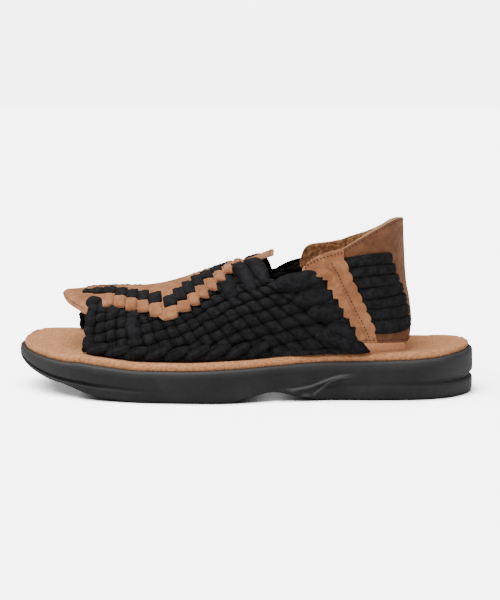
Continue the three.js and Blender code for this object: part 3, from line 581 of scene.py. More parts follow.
def arch_section(at, side):
    x = to_x(at)
    foot_y = outline_y(at, side) - side * read(VAMP, side_column(side), at) * BALL_WIDTH
    foot_z = insole_top(x, foot_y) + FOOT_GAP
    crown_z = insole_top(x, CROWN_SHIFT) + INSTEP_RISE * read(VAMP, 3, at)
    power = 2 / read(VAMP, 4, at)
    angle = np.linspace(0, math.pi / 2, ARCH_SAMPLES + 1)
    y = CROWN_SHIFT + (foot_y - CROWN_SHIFT) * np.maximum(np.cos(angle), 0) ** power
    z = foot_z + (crown_z - foot_z) * np.sin(angle) ** power
    points = np.stack([np.full(len(angle), x), y, z], 1)
    length = np.concatenate([[0], np.cumsum(np.linalg.norm(np.diff(points, axis=0), axis=1))])
    return points, length


def arch_point(section, up):
    points, length = section
    return np.array([np.interp(up * length[-1], length, points[:, k]) for k in range(3)])


def strap_y(at, z):
    up = (z - SEAT) / BACK_RISE
    half = STRAP_WIDTH * read(STRAP_PROFILE, 1, up)
    share = min(max((at - STRAP_BEND_AT) / (read(STRAP_PROFILE, 2, up) - STRAP_BEND_AT), 0), 1)
    return half * (1 - share ** STRAP_ROUND) ** (1 / STRAP_ROUND)


def wall_point(at, side, up, section):
    """Smooth outer surface of the woven wall, from the vamp's arch to the upright side wall."""
    arch = arch_point(section, up)
    weight = smoothstep(0.49, 0.62, at)
    if weight == 0:
        return arch
    foot = section[0][0]
    z = foot[2] + (to_rise(read(COLLAR, 1, at)) - foot[2]) * min(up / COLLAR_SHARE, 1)
    reach = abs(outline_y(at, side)) - FOOT_INSET + (z - foot[2]) * FOOT_SPREAD
    wall = np.array([arch[0], side * min(strap_y(at, z) + WEAVE_WALL - LINING, reach), z])
    if up > COLLAR_SHARE:
        wall = wall + arch - arch_point(section, COLLAR_SHARE)
    return arch * (1 - weight) + wall * weight


WALL_AT = np.linspace(WALL_START, WALL_END, 143)
WALL_GIRTH = np.linspace(-1, 1, 121)
CROWN_SAMPLE = 60
wall_rows = []
girth_rows = []
for at in WALL_AT:
    sections = {side: arch_section(at, side) for side in (LATERAL, MEDIAL)}
    girth_rows.append([sections[side][1][-1] for side in (LATERAL, MEDIAL)])
    wall_rows.append([wall_point(at, side_of(girth), 1 - abs(girth), sections[side_of(girth)])
                      for girth in WALL_GIRTH])
WALL_POINTS = np.array(wall_rows)
HALF_GIRTHS = np.array(girth_rows)
WALL_NORMALS = np.cross(np.gradient(WALL_POINTS, axis=0), np.gradient(WALL_POINTS, axis=1))
WALL_NORMALS /= np.linalg.norm(WALL_NORMALS, axis=2, keepdims=True)
if WALL_NORMALS[CROWN_SAMPLE, CROWN_SAMPLE, 2] < 0:
    WALL_NORMALS = -WALL_NORMALS


def on_wall(side, at, up, out):
    """Points on the wall, from arrays of length share, height share and distance outwards."""
    girth = np.clip(side * (1 - up), -1, 1)
    i = np.clip((at - WALL_START) / (WALL_END - WALL_START), 0, 1) * (len(WALL_AT) - 1)
    j = (girth + 1) / 2 * (len(WALL_GIRTH) - 1)
    i0 = np.minimum(i.astype(int), len(WALL_AT) - 2)
    j0 = np.minimum(j.astype(int), len(WALL_GIRTH) - 2)
    di = (i - i0)[..., None]
    dj = (j - j0)[..., None]

    def mix(grid):
        return ((1 - di) * (1 - dj) * grid[i0, j0] + di * (1 - dj) * grid[i0 + 1, j0]
                + (1 - di) * dj * grid[i0, j0 + 1] + di * dj * grid[i0 + 1, j0 + 1])

    return mix(WALL_POINTS) + mix(WALL_NORMALS) * out[..., None]


def wall_place(side, at, up, out):
    """One point on the wall."""
    return Vector(on_wall(side, np.array([at]), np.array([up]), np.array([out]))[0])


def half_girth(side, at):
    return np.interp(at, WALL_AT, HALF_GIRTHS[:, 0 if side == LATERAL else 1])


# Seams between falling strands: number, length share at LEAN_HEIGHT, lean per height share
LEAN_HEIGHT = 0.3
FALLING = (
    (-3, 0.112, -0.008), (-1, 0.16, -0.008), (0, 0.184, -0.008), (3, 0.257, -0.014),
    (4, 0.284, -0.06),
    (6, 0.337, -0.12), (9, 0.414, -0.19), (13, 0.535, -0.236), (15, 0.601, -0.29),
    (16, 0.6415, -0.36),
    (18, 0.73, -0.42), (20, 0.82, -0.45),
)
# The seam between rising strands that is number 0, and the height share of one strand
RISING = (
    (0.1, 0.085), (0.16, 0.09), (0.188, 0.111), (0.2377, 0.186), (0.2606, 0.211), (0.32, 0.275),
    (0.3945, 0.355), (0.4217, 0.408), (0.4468, 0.442), (0.4906, 0.515), (0.56, 0.575), (0.64, 0.62),
    (0.76, 0.7),
)
RISING_PITCH = ((0.15, 0.12), (0.25, 0.115), (0.4, 0.1), (0.7, 0.1))
TOP_LEAN = 0.12
number_samples = np.linspace(FALLING[0][0], FALLING[-1][0], 200)
falling_at = np.array([read(FALLING, 1, number) for number in number_samples])
falling_lean = np.array([read(FALLING, 2, number) for number in number_samples])
share_samples = np.linspace(WALL_START, WALL_END, 200)
rising_up = np.array([read(RISING, 1, at) for at in share_samples])
rising_pitch = np.array([read(RISING_PITCH, 1, at) for at in share_samples])


def lattice(falling, rising):
    """Length and height share of the place where two seams, or parts of a strand, cross."""
    start = np.interp(falling, number_samples, falling_at)
    lean = np.interp(falling, number_samples, falling_lean)
    at = start.copy()
    for _ in range(30):
        pitch = np.interp(at, share_samples, rising_pitch)
        up = np.interp(at, share_samples, rising_up) + rising * pitch
        leaning = lean * (np.minimum(up, COLLAR_SHARE) - LEAN_HEIGHT)
        leaning = leaning - TOP_LEAN * np.maximum(up - COLLAR_SHARE, 0) * (falling > 4)
        at = at * 0.5 + (start + leaning) * 0.5
    return at, up


TUCK = 0.012
TUCK_DEPTH = 0.0013


def in_weave(side, at, up):
    """Whether a place lies inside the edges of the woven wall."""
    if up < -0.01 or up > 1.03:
        return False
    up = min(max(up, 0), 1)
    if at < read(FRONT_EDGE, side_column(side), up):
        return False
    if up <= COLLAR_SHARE:
        return at < read(REAR_EDGE, 1, up / COLLAR_SHARE) + TUCK * smoothstep(0.03, 0.14, up)
    return at < read(THROAT_EDGE, 1, (up - COLLAR_SHARE) / (1 - COLLAR_SHARE))


AROUND = 16


def strand_mesh():
    """An empty mesh with the layers that the strands' material reads."""
    mesh = bmesh.new()
    mesh.loops.layers.uv.new("strand")
    mesh.verts.layers.float.new("crown")
    return mesh


def join_part(mesh, part):
    """Closes a part, turns its faces outwards and adds it to a mesh."""
    bmesh.ops.holes_fill(part, edges=part.edges)
    bmesh.ops.recalc_face_normals(part, faces=part.faces)
    data = bpy.data.meshes.new("part")
    part.to_mesh(data)
    part.free()
    mesh.from_mesh(data)
    bpy.data.meshes.remove(data)


def strand_tube(mesh, points, length, crowns):
    """One closed tube from rings of points: rings along, AROUND points in each. Each point has a
    crown share: 1 on top of the strand, 0 where it meets its neighbours; the nylon is painted
    darker towards 0 as painted shade."""
    steps = len(points) - 1
    part = bmesh.new()
    layer = part.loops.layers.uv.new("strand")
    crown = part.verts.layers.float.new("crown")
    bmesh.ops.create_grid(part, x_segments=steps, y_segments=AROUND, size=0.5)
    for face in part.faces:
        for loop in face.loops:
            co = loop.vert.co
            loop[layer].uv = ((co.x + 0.5) * length, co.y + 0.5)
    for vertex in part.verts:
        ring = round((vertex.co.x + 0.5) * steps)
        place = round((vertex.co.y + 0.5) * AROUND) % AROUND
        vertex.co = Vector(points[ring][place])
        vertex[crown] = crowns[ring][place]
    bmesh.ops.remove_doubles(part, verts=part.verts, dist=1e-7)
    join_part(mesh, part)


STRAND_HALF = 0.0013
STRAND_WAVE = 0.00145
STRAND_DEPTH = 0.0014
STRAND_PITCH = 0.0075
WEAVE_STEP = 0.09
SHORTEST_RUN = 8
CREASE = 0.0002
RING_ANGLE = np.linspace(0, 2 * math.pi, AROUND, endpoint=False)
draw = random.Random(4)


def woven_strand(mesh, side, number, falls, low_end, high_end):
    """One strand of the weave: falls says its direction, number its place in its set."""
    along = np.arange(low_end, high_end, WEAVE_STEP)
    middle = np.full(len(along), number + 0.5)
    at, up = lattice(middle, along) if falls else lattice(along, middle)
    inside = [in_weave(side, a, u) for a, u in zip(at, up)]
    runs = []
    for index, kept in enumerate(inside):
        if kept and (index == 0 or not inside[index - 1]):
            runs.append([index, index])
        if kept:
            runs[-1][1] = index
    for first, last in runs:
        if last - first < SHORTEST_RUN:
            continue
        t = along[first:last + 1]
        sign = (-1) ** number if falls else -((-1) ** number)
        wave = sign * np.cos(math.pi * (t - 0.5))
        height = np.sign(wave) * np.abs(wave) ** 0.75
        ends = np.minimum(np.arange(len(t)), np.arange(len(t))[::-1]) / 3
        taper = np.sqrt(np.clip(ends, 0.02, 1))
        width = (0.5 + 0.045 * height + draw.uniform(-0.012, 0.012)) * taper
        thick = STRAND_HALF * (1 + 0.2 * height) * taper
        lift = -STRAND_DEPTH + STRAND_WAVE * height + draw.uniform(-0.00012, 0.00012)
        edge = np.array([read(REAR_EDGE, 1, min(u / COLLAR_SHARE, 1)) for u in up[first:last + 1]])
        lift -= TUCK_DEPTH * smoothstep(-TUCK, TUCK, at[first:last + 1] - edge)
        folds = np.cos(6 * RING_ANGLE + draw.uniform(0, 6))[None, :]
        crease = CREASE * (1.15 - np.abs(height))[:, None] * folds
        cross = np.cos(RING_ANGLE)
        across = number + 0.5 + width[:, None] * cross[None, :]
        rise = np.sin(RING_ANGLE)
        out = lift[:, None] + thick[:, None] * rise[None, :] + crease
        lengthwise = np.repeat(t[:, None], AROUND, axis=1)
        place = lattice(across, lengthwise) if falls else lattice(lengthwise, across)
        points = on_wall(side, place[0], place[1], out)
        # Crown share: painted shade darkens the nylon at the strand's flanks and where it dives
        # under its neighbours
        crowns = np.clip(height, 0, 1)[:, None] ** 0.7 * np.clip(rise, 0, 1)[None, :] ** 0.6
        strand_tube(mesh, points, len(t) * WEAVE_STEP * STRAND_PITCH, crowns)


def smooth_route(values, steps):
    """A smooth curve through the rows of a list, as steps + 1 rows."""
    rows = np.array(values, dtype=float)
    padded_rows = np.vstack([2 * rows[0] - rows[1], rows, 2 * rows[-1] - rows[-2]])
    result = []
    for place in np.linspace(0, len(rows) - 1, steps + 1):
        i = min(int(place), len(rows) - 2)
        t = place - i
        a, b, c, d = padded_rows[i:i + 4]
        result.append(0.5 * (2 * b + (c - a) * t + (2 * a - 5 * b + 4 * c - d) * t ** 2
                             + (3 * b - a - 3 * c + d) * t ** 3))
    return np.array(result)


UNDERSIDE = 0.35
LOOSE_CREASE = 0.00028


def loose_strand(mesh, side, route, widths, lifts, half_thick, steps=26, cut=False):
    """A strand that lies over the others: its route as length and height shares, its widths and
    the height of its middle over the wall. A cut one keeps its width up to its far end."""
    table = [(at, up, width, lift) for (at, up), width, lift in zip(route, widths, lifts)]
    rows = smooth_route(table, steps)
    at, up, width, lift = rows.T
    girth = half_girth(side, at)
    x, s = at * LENGTH, up * girth
    dx, ds = np.gradient(x), np.gradient(s)
    size = np.maximum(np.hypot(dx, ds), 1e-9)
    last = np.arange(steps + 1)[::-1] * (8 if cut else 1)
    ends = np.minimum(np.arange(steps + 1), last) / (steps * 0.12)
    taper = np.sqrt(np.clip(ends, 0.03, 1))
    across = np.cos(RING_ANGLE)[None, :] * (width / 2 * taper)[:, None]
    rise = np.sign(np.sin(RING_ANGLE)) * np.abs(np.sin(RING_ANGLE)) ** 0.9
    along = np.linspace(0, 1, steps + 1)[:, None]
    phase = draw.uniform(0, 6)
    pinch = 0.35 + 0.65 * np.abs(2 * along - 1) ** 2
    fold = LOOSE_CREASE * pinch * np.cos(5 * RING_ANGLE[None, :] + phase + 1.5 * along)
    body = np.where(rise < 0, UNDERSIDE * rise, rise)
    out = lift[:, None] + half_thick * taper[:, None] * body[None, :] + fold
    at_grid = (x[:, None] - ds[:, None] / size[:, None] * across) / LENGTH
    up_grid = (s[:, None] + dx[:, None] / size[:, None] * across) / girth[:, None]
    # Crown share: painted shade darkens the nylon at the strand's flanks, underside and tapered
    # ends
    crowns = taper[:, None] ** 2 * np.clip(rise, 0, 1)[None, :] ** 2
    strand_tube(mesh, on_wall(side, at_grid, up_grid, out), float(np.sum(size)), crowns)


# Painted shade: the nylon darkens to this colour where the crown share falls to 0, at flanks, ends
# and crossings
CREVICE_SHADE_COLOUR = (0.0011, 0.0011, 0.0013, 1)
KNIT_SCALE = (1400, 34, 1)
FOLD_SCALE = (110, 9, 1)


def strand_material(name, colour, light_colour):
    """Soft knitted nylon: dark, a little sheen, fine ribs along the strand, painted darker towards
    its crevices by the crown share as painted shade.
    """
    material, tree, shader = node_material(name, 0.82)
    cloud = noise(tree, 260, 5)
    tone = ramp(tree, cloud.outputs["Fac"], ((0.36, colour), (0.66, light_colour)))
    crown = add_node(tree, "ShaderNodeAttribute", attribute_name="crown")
    shade = add_node(tree, "ShaderNodeMix", data_type="RGBA", A=CREVICE_SHADE_COLOUR)
    source = add_node(tree, "ShaderNodeUVMap", uv_map="strand")
    spread = add_node(tree, "ShaderNodeMapping", Scale=KNIT_SCALE)
    knit = add_node(tree, "ShaderNodeTexWave", Scale=0.5, Distortion=1.2, Detail=2.0)
    knit.bands_direction = "Y"
    stretch = add_node(tree, "ShaderNodeMapping", Scale=FOLD_SCALE)
    folds = add_node(tree, "ShaderNodeTexNoise", Scale=1.0, Detail=3.0, Roughness=0.5)
    join(tree,
         (crown.outputs["Fac"], shade.inputs["Factor"]),
         (tone.outputs["Color"], shade.inputs["B"]),
         (shade.outputs["Result"], shader.inputs["Base Color"]),
         (source.outputs["UV"], spread.inputs["Vector"]),
         (spread.outputs["Vector"], knit.inputs["Vector"]),
         (source.outputs["UV"], stretch.inputs["Vector"]),
         (stretch.outputs["Vector"], folds.inputs["Vector"]))
    fuzz = noise(tree, 900, 3)
    first = bump(tree, shader, knit.outputs["Fac"], 0.2, 0.0003)
    second = bump(tree, shader, folds.outputs["Fac"], 0.75, 0.0022, first)
    bump(tree, shader, fuzz.outputs["Fac"], 0.35, 0.0006, second)
    shader.inputs["Sheen Weight"].default_value = 0.02
    shader.inputs["Sheen Roughness"].default_value = 0.4
    shader.inputs["Specular IOR Level"].default_value = 0.12
    return material


nylon = strand_material("knitted_nylon", (0.0058, 0.0058, 0.0066), (0.0168, 0.0168, 0.0185))
# The two sets: name, numbers of the strands, and the seams where they begin and end
STRAND_SETS = (("falling", range(-3, 20), (-8, 9)), ("rising", range(-7, 9), (-3, 20)))
for side, side_name in SIDES:
    for set_name, numbers, ends in STRAND_SETS:
        set_mesh = strand_mesh()
        for number in numbers:
            woven_strand(set_mesh, side, number, set_name == "falling", *ends)
        add_piece(f"{set_name}_strands_{side_name}", set_mesh, nylon, ("upper",))

# Strands that float over the weave: wide ones from under the chevron to the throat, leaf-shaped
# ends that gather under the side panel, and the twisted row along the insole.
MM = 0.001
# Heights that several of the cut ends share
STUB_LIFTS = (-0.8, 0.2, 0.4, 0, 0)
LEAF_LIFTS = (-0.5, 0.6, 1.2, 1.4, 1.2, 0.2, 0)
# Each has its route as length and height shares, its widths and its heights over the wall in mm,
# and whether it is cut off under the side panel
FLOATS = {
    "throat_middle": (
        ((0.479, 0.96), (0.484, 0.9), (0.4925, 0.81), (0.5, 0.729), (0.5144, 0.602),
         (0.5206, 0.538), (0.525, 0.495)),
        (6.5, 8.5, 9.5, 9.5, 9, 7.5, 5), (1.2, 2.2, 2.2, 1.9, 1.3, 0.8, -0.6), False),
    "throat_rear": (
        ((0.507, 0.985), (0.514, 0.92), (0.5231, 0.85), (0.5375, 0.702), (0.5462, 0.61),
         (0.5531, 0.56)),
        (7.5, 10, 10.5, 9.5, 7.5, 5), (1.5, 2.8, 3, 2.3, 1.2, -0.6), False),
    "throat_front": (
        ((0.449, 0.76), (0.456, 0.70), (0.464, 0.64), (0.472, 0.57), (0.4785, 0.5), (0.482, 0.455)),
        (7, 9, 10, 10, 9, 5.5), (-0.2, 1.0, 1.4, 1.3, 0.8, -0.5), False),
    "collar_stub": (
        ((0.62, 0.488), (0.634, 0.492), (0.651, 0.5), (0.674, 0.507), (0.685, 0.51)),
        (3, 6, 6.5, 6.5, 6), STUB_LIFTS, True),
    "collar_leaf": (
        ((0.564, 0.555), (0.5775, 0.557), (0.5937, 0.549), (0.6169, 0.538), (0.6419, 0.545),
         (0.667, 0.56), (0.679, 0.568)),
        (3, 8, 11.5, 12.5, 12, 9.5, 8.5), (-0.5, 0.5, 1.1, 1.4, 1.3, 0.2, 0), True),
    "upper_stub": (
        ((0.65, 0.364), (0.6594, 0.369), (0.6756, 0.378), (0.696, 0.389), (0.708, 0.392)),
        (3, 6, 6.5, 6.5, 5.5), STUB_LIFTS, True),
    "upper_leaf": (
        ((0.602, 0.388), (0.6135, 0.405), (0.628, 0.414), (0.6506, 0.421), (0.6712, 0.434),
         (0.689, 0.444), (0.7, 0.45)),
        (2.5, 8.5, 12.5, 13, 11.5, 9, 8), LEAF_LIFTS, True),
    "middle_stub": (
        ((0.681, 0.236), (0.6906, 0.24), (0.7075, 0.246), (0.722, 0.247), (0.734, 0.246)),
        (3, 5.5, 6, 6, 5.5), STUB_LIFTS, True),
    "middle_leaf": (
        ((0.632, 0.306), (0.643, 0.312), (0.6577, 0.314), (0.68, 0.305), (0.7012, 0.308),
         (0.712, 0.312), (0.723, 0.315)),
        (2.5, 8, 11.5, 12.5, 11.5, 9, 8), LEAF_LIFTS, True),
    "lower_leaf": (
        ((0.676, 0.186), (0.685, 0.193), (0.6994, 0.196), (0.7162, 0.172), (0.7325, 0.13),
         (0.752, 0.09)),
        (2.5, 7, 9.5, 10, 9, 7), (-0.5, 0.5, 1.1, 1.3, 0.8, 0), True),
    "lower_stub": (
        ((0.712, 0.222), (0.7244, 0.206), (0.7325, 0.187), (0.738, 0.163), (0.744, 0.13)),
        (3, 5, 6, 6, 5), (-0.2, 1.0, 1.4, 1.0, -0.6), False),
    "bottom_leaf": (
        ((0.648, 0.14), (0.6612, 0.142), (0.6781, 0.142), (0.7056, 0.108), (0.7369, 0.055),
         (0.77, 0.006)),
        (2.5, 7, 9.5, 10, 9, 4), (-0.5, 0.5, 1.2, 1.5, 1.3, 0.4), False),
    "thin_strand": (
        ((0.53, 0.6), (0.541, 0.597), (0.555, 0.592), (0.572, 0.584)),
        (2, 3.6, 3.6, 2.5), (-0.3, 0.6, 0.6, -0.3), False),
    "front_lace": (
        ((0.166, 0.545), (0.1715, 0.49), (0.174, 0.42), (0.175, 0.354), (0.172, 0.28)),
        (5, 8, 8, 7.5, 5), (0.2, 0.9, 1.0, 0.9, -0.2), False),
    "front_knot": (
        ((0.196, 0.73), (0.188, 0.69), (0.179, 0.64), (0.1755, 0.58), (0.18, 0.52), (0.187, 0.46)),
        (7, 8.5, 9.5, 9.5, 8, 5), (-0.6, 1.2, 2.1, 2.2, 1.3, -0.2), False),
    "second_lace": (
        ((0.2, 0.66), (0.2, 0.6), (0.199, 0.53), (0.1975, 0.46)),
        (7, 9, 9, 7), (0.4, 1.4, 1.2, -0.4), False),
    "third_lace": (
        ((0.227, 0.57), (0.225, 0.53), (0.2225, 0.48), (0.22, 0.43)),
        (7.5, 10, 10, 7), (0.3, 1.2, 1.1, -0.4), False),
    "fourth_lace": (
        ((0.279, 0.505), (0.273, 0.475), (0.2675, 0.44), (0.262, 0.39)),
        (7, 9, 9, 7), (0.2, 1.0, 1.0, -0.4), False),
    "long_front": (
        ((0.258, 0.41), (0.265, 0.36), (0.27, 0.29), (0.2765, 0.22), (0.283, 0.17)),
        (6, 9.5, 10.5, 9, 6), (-0.3, 0.7, 0.9, 0.7, -0.4), False),
    "front_foot": (
        ((0.157, 0.12), (0.165, 0.11), (0.176, 0.085), (0.188, 0.055)),
        (6, 8.5, 8, 4), (0, 0.9, 0.8, -0.2), False),
}
# On the inner side only two thin strands close the collar
INNER_THIN = (
    ((0.55, 0.575), (0.575, 0.585), (0.6, 0.6), (0.64, 0.625)),
    ((0.55, 0.545), (0.58, 0.555), (0.61, 0.57), (0.65, 0.59)),
)
FOOT_ROW_START = 0.195
FOOT_ROW_PITCH = 0.0425
FOOT_ROW_COUNT = 9
FOOT_ROPE_UP = 0.016
FOOT_ROPE_WIDTH = 0.0034
LEAF_SHARE = 0.87
LEAF_LIFT = 0.0009
FLOAT_SINK = 0.0007
FLOAT_HALF = 0.0019
for side, side_name in SIDES:
    floats = strand_mesh()
    for name, (route, widths, lifts, cut) in FLOATS.items():
        if side == MEDIAL and name == "collar_leaf":
            continue
        share = MM * (LEAF_SHARE if cut else 1)
        raised = LEAF_LIFT if cut else 0
        heights = [h * MM - FLOAT_SINK + (raised if 0 < i < len(lifts) - 1 else 0)
                   for i, h in enumerate(lifts)]
        loose_strand(floats, side, route, [w * share for w in widths], heights, FLOAT_HALF, cut=cut)
    foot_route = [(at, FOOT_ROPE_UP) for at in np.linspace(0.165, 0.742, 16)]
    loose_strand(floats, side, foot_route, [FOOT_ROPE_WIDTH] * 16, [-0.0002] * 16, 0.0013, 90)
    if side == MEDIAL:
        for route in INNER_THIN:
            loose_strand(floats, side, route, [w * MM for w in (2, 4, 4, 2)],
                         [0, 0.0004, 0.0004, -0.0006], 0.0011)
    for index in range(FOOT_ROW_COUNT):
        at = FOOT_ROW_START + index * FOOT_ROW_PITCH
        wobble = draw.uniform(-0.003, 0.003)
        route = ((at - 0.03, 0.005), (at - 0.018, 0.035), (at, 0.075 + wobble),
                 (at + 0.018, 0.1), (at + 0.031, 0.105))
        loose_strand(floats, side, route, [w * MM for w in (2.5, 5.8, 7, 5.6, 2.5)],
                     [h * MM for h in (-0.2, 1.1, 1.7, 1, -0.9)], 0.0016)
    add_piece(f"floating_strands_{side_name}", floats, nylon)

# Chevron overlay: tan nubuck cut in one piece with scalloped edges, laid over the weave, with
# slits through which the falling strands come up and go down again as a row of black squares.
LEATHER = 0.0013
LEATHER_GAP = 0.00135
CHEVRON = (
    (0.1045, 0), (0.105, 0.08), (0.1062, 0.14), (0.108, 0.19), (0.1108, 0.24), (0.1181, 0.32),
    (0.1306, 0.405),
    (0.1456, 0.486), (0.1594, 0.545), (0.1664, 0.56), (0.169, 0.5), (0.172, 0.41), (0.178, 0.345),
    (0.19, 0.335),
    (0.2, 0.39), (0.2131, 0.45), (0.2475, 0.46), (0.262, 0.5), (0.285, 0.515), (0.3, 0.53),
    (0.318, 0.575),
    (0.336, 0.635), (0.352, 0.6), (0.379, 0.555), (0.399, 0.51), (0.417, 0.46), (0.435, 0.4),
    (0.452, 0.33),
    (0.468, 0.25), (0.485, 0.14), (0.505, 0.115), (0.53, 0.1), (0.55, 0.065), (0.566, 0.014),
)
TIP_LIFT = 0.0003
TOE_LIFT = 0.0017
NUBUCK_STOPS = (
    (0.34, (0.235, 0.088, 0.035)), (0.5, (0.315, 0.125, 0.052)), (0.67, (0.42, 0.185, 0.083)),
)
CUT_STOPS = ((0.3, (0.42, 0.22, 0.11)), (0.7, (0.6, 0.36, 0.2)))


def chevron_reach(at):
    return read(CHEVRON, 1, at)


def leather_sheet(name, along, across, place, material, nodes, turned=False):
    """A cut piece of leather: a grid laid on its surface, given its thickness outwards and a soft
    cut edge. It is turned where the grid faces inwards."""
    mesh = bmesh.new()
    bmesh.ops.create_grid(mesh, x_segments=along, y_segments=across, size=0.5)
    for vertex in mesh.verts:
        vertex.co = place(vertex.co.x + 0.5, vertex.co.y + 0.5)
    bmesh.ops.remove_doubles(mesh, verts=mesh.verts, dist=1e-6)
    if turned:
        bmesh.ops.reverse_faces(mesh, faces=mesh.faces)
    piece = add_piece(name, mesh, material, nodes)
    piece.data.materials.append(cut_leather)
    wall = piece.modifiers.new("thickness", "SOLIDIFY")
    wall.material_offset_rim = 1
    wall.thickness = LEATHER
    wall.offset = 1
    edge = piece.modifiers.new("cut_edge", "BEVEL")
    edge.width = 0.00025
    edge.segments = 2
    edge.limit_method = "ANGLE"
    edge.angle_limit = math.radians(60)


def chevron_out(at, up):
    """How far the overlay's underside lies over the wall: it lifts at its two tips."""
    toe = TOE_LIFT * smoothstep(0.15, 0.108, at) * smoothstep(0.45, 0.85, up)
    return LEATHER_GAP + TIP_LIFT * smoothstep(0.49, 0.566, at) + toe


def chevron_place(along, across):
    at = CHEVRON[0][0] + (CHEVRON[-1][0] - CHEVRON[0][0]) * along
    reach = chevron_reach(at) * (1 - 2 * across)
    side = side_of(reach)
    up = 1 - abs(reach)
    return wall_place(side, at, up, chevron_out(at, up))


nubuck = leather_material("nubuck_leather", NUBUCK_STOPS, 120, 2100, 0.42)
cut_leather = leather_material("cut_leather", CUT_STOPS, 500, 3000, 0.5)
leather_sheet("vamp_leather", 320, 90, chevron_place, nubuck, ("vamp_leather",), turned=True)

# Squares of the chevron: the black strands come up through slits in the leather and go down
# again, and the leather puffs up between them as a row of tan squares that ends in scallops.
# Each row: length share, height share, half its length and height, rise of its long edges, lean
BLACK_SQUARES = (
    (0.163, 0.81, 0.0115, 0.042, -0.015, -0.001), (0.1819, 0.822, 0.0092, 0.075, 0, -0.0025),
    (0.2077, 0.835, 0.0122, 0.088, 0.015, -0.004), (0.2345, 0.768, 0.0104, 0.088, 0.0145, -0.0015),
    (0.2602, 0.716, 0.0102, 0.086, 0.0145, -0.0023),
    (0.2861, 0.675, 0.0102, 0.084, 0.0155, -0.0034),
    (0.313, 0.617, 0.0117, 0.073, 0.02, -0.0036), (0.3477, 0.547, 0.0115, 0.058, 0.009, -0.0033),
    (0.3677, 0.613, 0.0112, 0.073, -0.005, -0.0049),
    (0.3855, 0.675, 0.0105, 0.086, -0.015, -0.0058),
    (0.4032, 0.758, 0.0105, 0.095, -0.025, -0.006), (0.422, 0.822, 0.0103, 0.088, -0.018, -0.006),
    (0.4415, 0.885, 0.0093, 0.08, -0.004, -0.0045), (0.4555, 0.945, 0.0066, 0.045, 0, -0.0018),
)
TAN_SQUARES = (
    (0.2095, 0.63, 0.0135, 0.105, 0.01, -0.003), (0.236, 0.6, 0.0135, 0.088, 0, -0.002),
    (0.262, 0.562, 0.0135, 0.088, 0, -0.002), (0.289, 0.53, 0.0145, 0.075, 0, -0.003),
    (0.318, 0.474, 0.0155, 0.077, 0, -0.003), (0.351, 0.424, 0.0155, 0.063, 0.011, -0.001),
    (0.3789, 0.468, 0.0132, 0.055, -0.002, -0.003), (0.3991, 0.519, 0.0112, 0.064, -0.002, -0.004),
    (0.4172, 0.579, 0.0114, 0.073, -0.011, -0.005), (0.4347, 0.64, 0.0116, 0.077, -0.014, -0.0044),
    (0.4519, 0.719, 0.0112, 0.083, -0.012, -0.0044),
    (0.4677, 0.81, 0.0095, 0.092, -0.0085, -0.0026),
    (0.4847, 0.92, 0.0095, 0.055, 0.018, 0),
)
SQUARE_STEPS = 12
CORNER_ROUND = 0.12
BLACK_BASE = 0.00268
BLACK_PUFF = 0.0011
BLACK_GROW = 1.27
BLACK_FOLD = 0.00022
INNER_PUFF = 0.0004
TAN_BASE = 0.0019
TAN_PUFF = 0.0021
TAN_FOLD = 0.0001


def puffed_square(mesh, side, square, base, puff, fold, grow=1):
    """A rounded square that swells up from the overlay."""
    at, up, half_at, half_up, slope, lean = square
    half_at, half_up = half_at * grow, half_up * grow
    part = bmesh.new()
    layer = part.loops.layers.uv.new("strand")
    crown = part.verts.layers.float.new("crown")
    bmesh.ops.create_grid(part, x_segments=SQUARE_STEPS, y_segments=SQUARE_STEPS, size=1)
    length = half_up * half_girth(side, at)
    for face in part.faces:
        for loop in face.loops:
            loop[layer].uv = (loop.vert.co.y * length, (loop.vert.co.x + 1) / 3)
    phase = draw.uniform(0, 6)
    a, b = np.array([vertex.co[:2] for vertex in part.verts]).T
    across = a * np.sqrt(1 - CORNER_ROUND * b * b)
    along = b * np.sqrt(1 - CORNER_ROUND * a * a)
    swell = ((1 - a ** 4) * (1 - b ** 4)) ** 0.45
    crease = fold * np.cos(7 * a + phase + 1.5 * b) * swell
    ups = np.clip(up + half_up * along + slope * across, 0, 1)
    places = on_wall(side, at + half_at * across + lean * along, ups, base + puff * swell + crease)
    # Crown share: painted shade darkens the black squares' nylon towards their edges
    for vertex, place, share in zip(part.verts, places, swell):
        vertex.co = Vector(place)
        vertex[crown] = share ** 2
    join_part(mesh, part)


for side, side_name in SIDES:
    squares = strand_mesh()
    for square in BLACK_SQUARES:
        puff = BLACK_PUFF if side == LATERAL else INNER_PUFF
        puffed_square(squares, side, square, BLACK_BASE, puff, BLACK_FOLD, BLACK_GROW)
    add_piece(f"chevron_squares_{side_name}", squares, nylon)
    puffs = strand_mesh()
    for square in TAN_SQUARES:
        puffed_square(puffs, side, square, TAN_BASE, TAN_PUFF, TAN_FOLD)
    add_piece(f"chevron_puffs_{side_name}", puffs, nubuck)

# Heel strap: a lining of rough tan split leather around the heel, with a side panel stitched on
# at each side and the heel counter stitched on behind. The panels' rear edge lies on the counter.
COUNTER_OFFSET = 0.000475
# Length share, then the height share of the top edge on each side and of the bottom edge
STRAP_EDGE = (
    (0.62, 0.6, 0.6, 0.5), (0.6286, 0.63, 0.7, 0.5), (0.6345, 0.675, 0.728, 0.48),
    (0.6494, 0.722, 0.75, 0.43),
    (0.6792, 0.768, 0.764, 0.31), (0.7087, 0.797, 0.781, 0.16), (0.735, 0.85, 0.816, 0.1),
    (0.77, 0.921, 0.859, 0.095),
    (0.8018, 0.98, 0.915, 0.09), (0.8305, 1.012, 0.98, 0.08), (0.87, 1, 1, 0.06),
)
CURVE_SHARE = 0.7
STRAP_STEP = 0.01
BACK_BLEND = 0.2


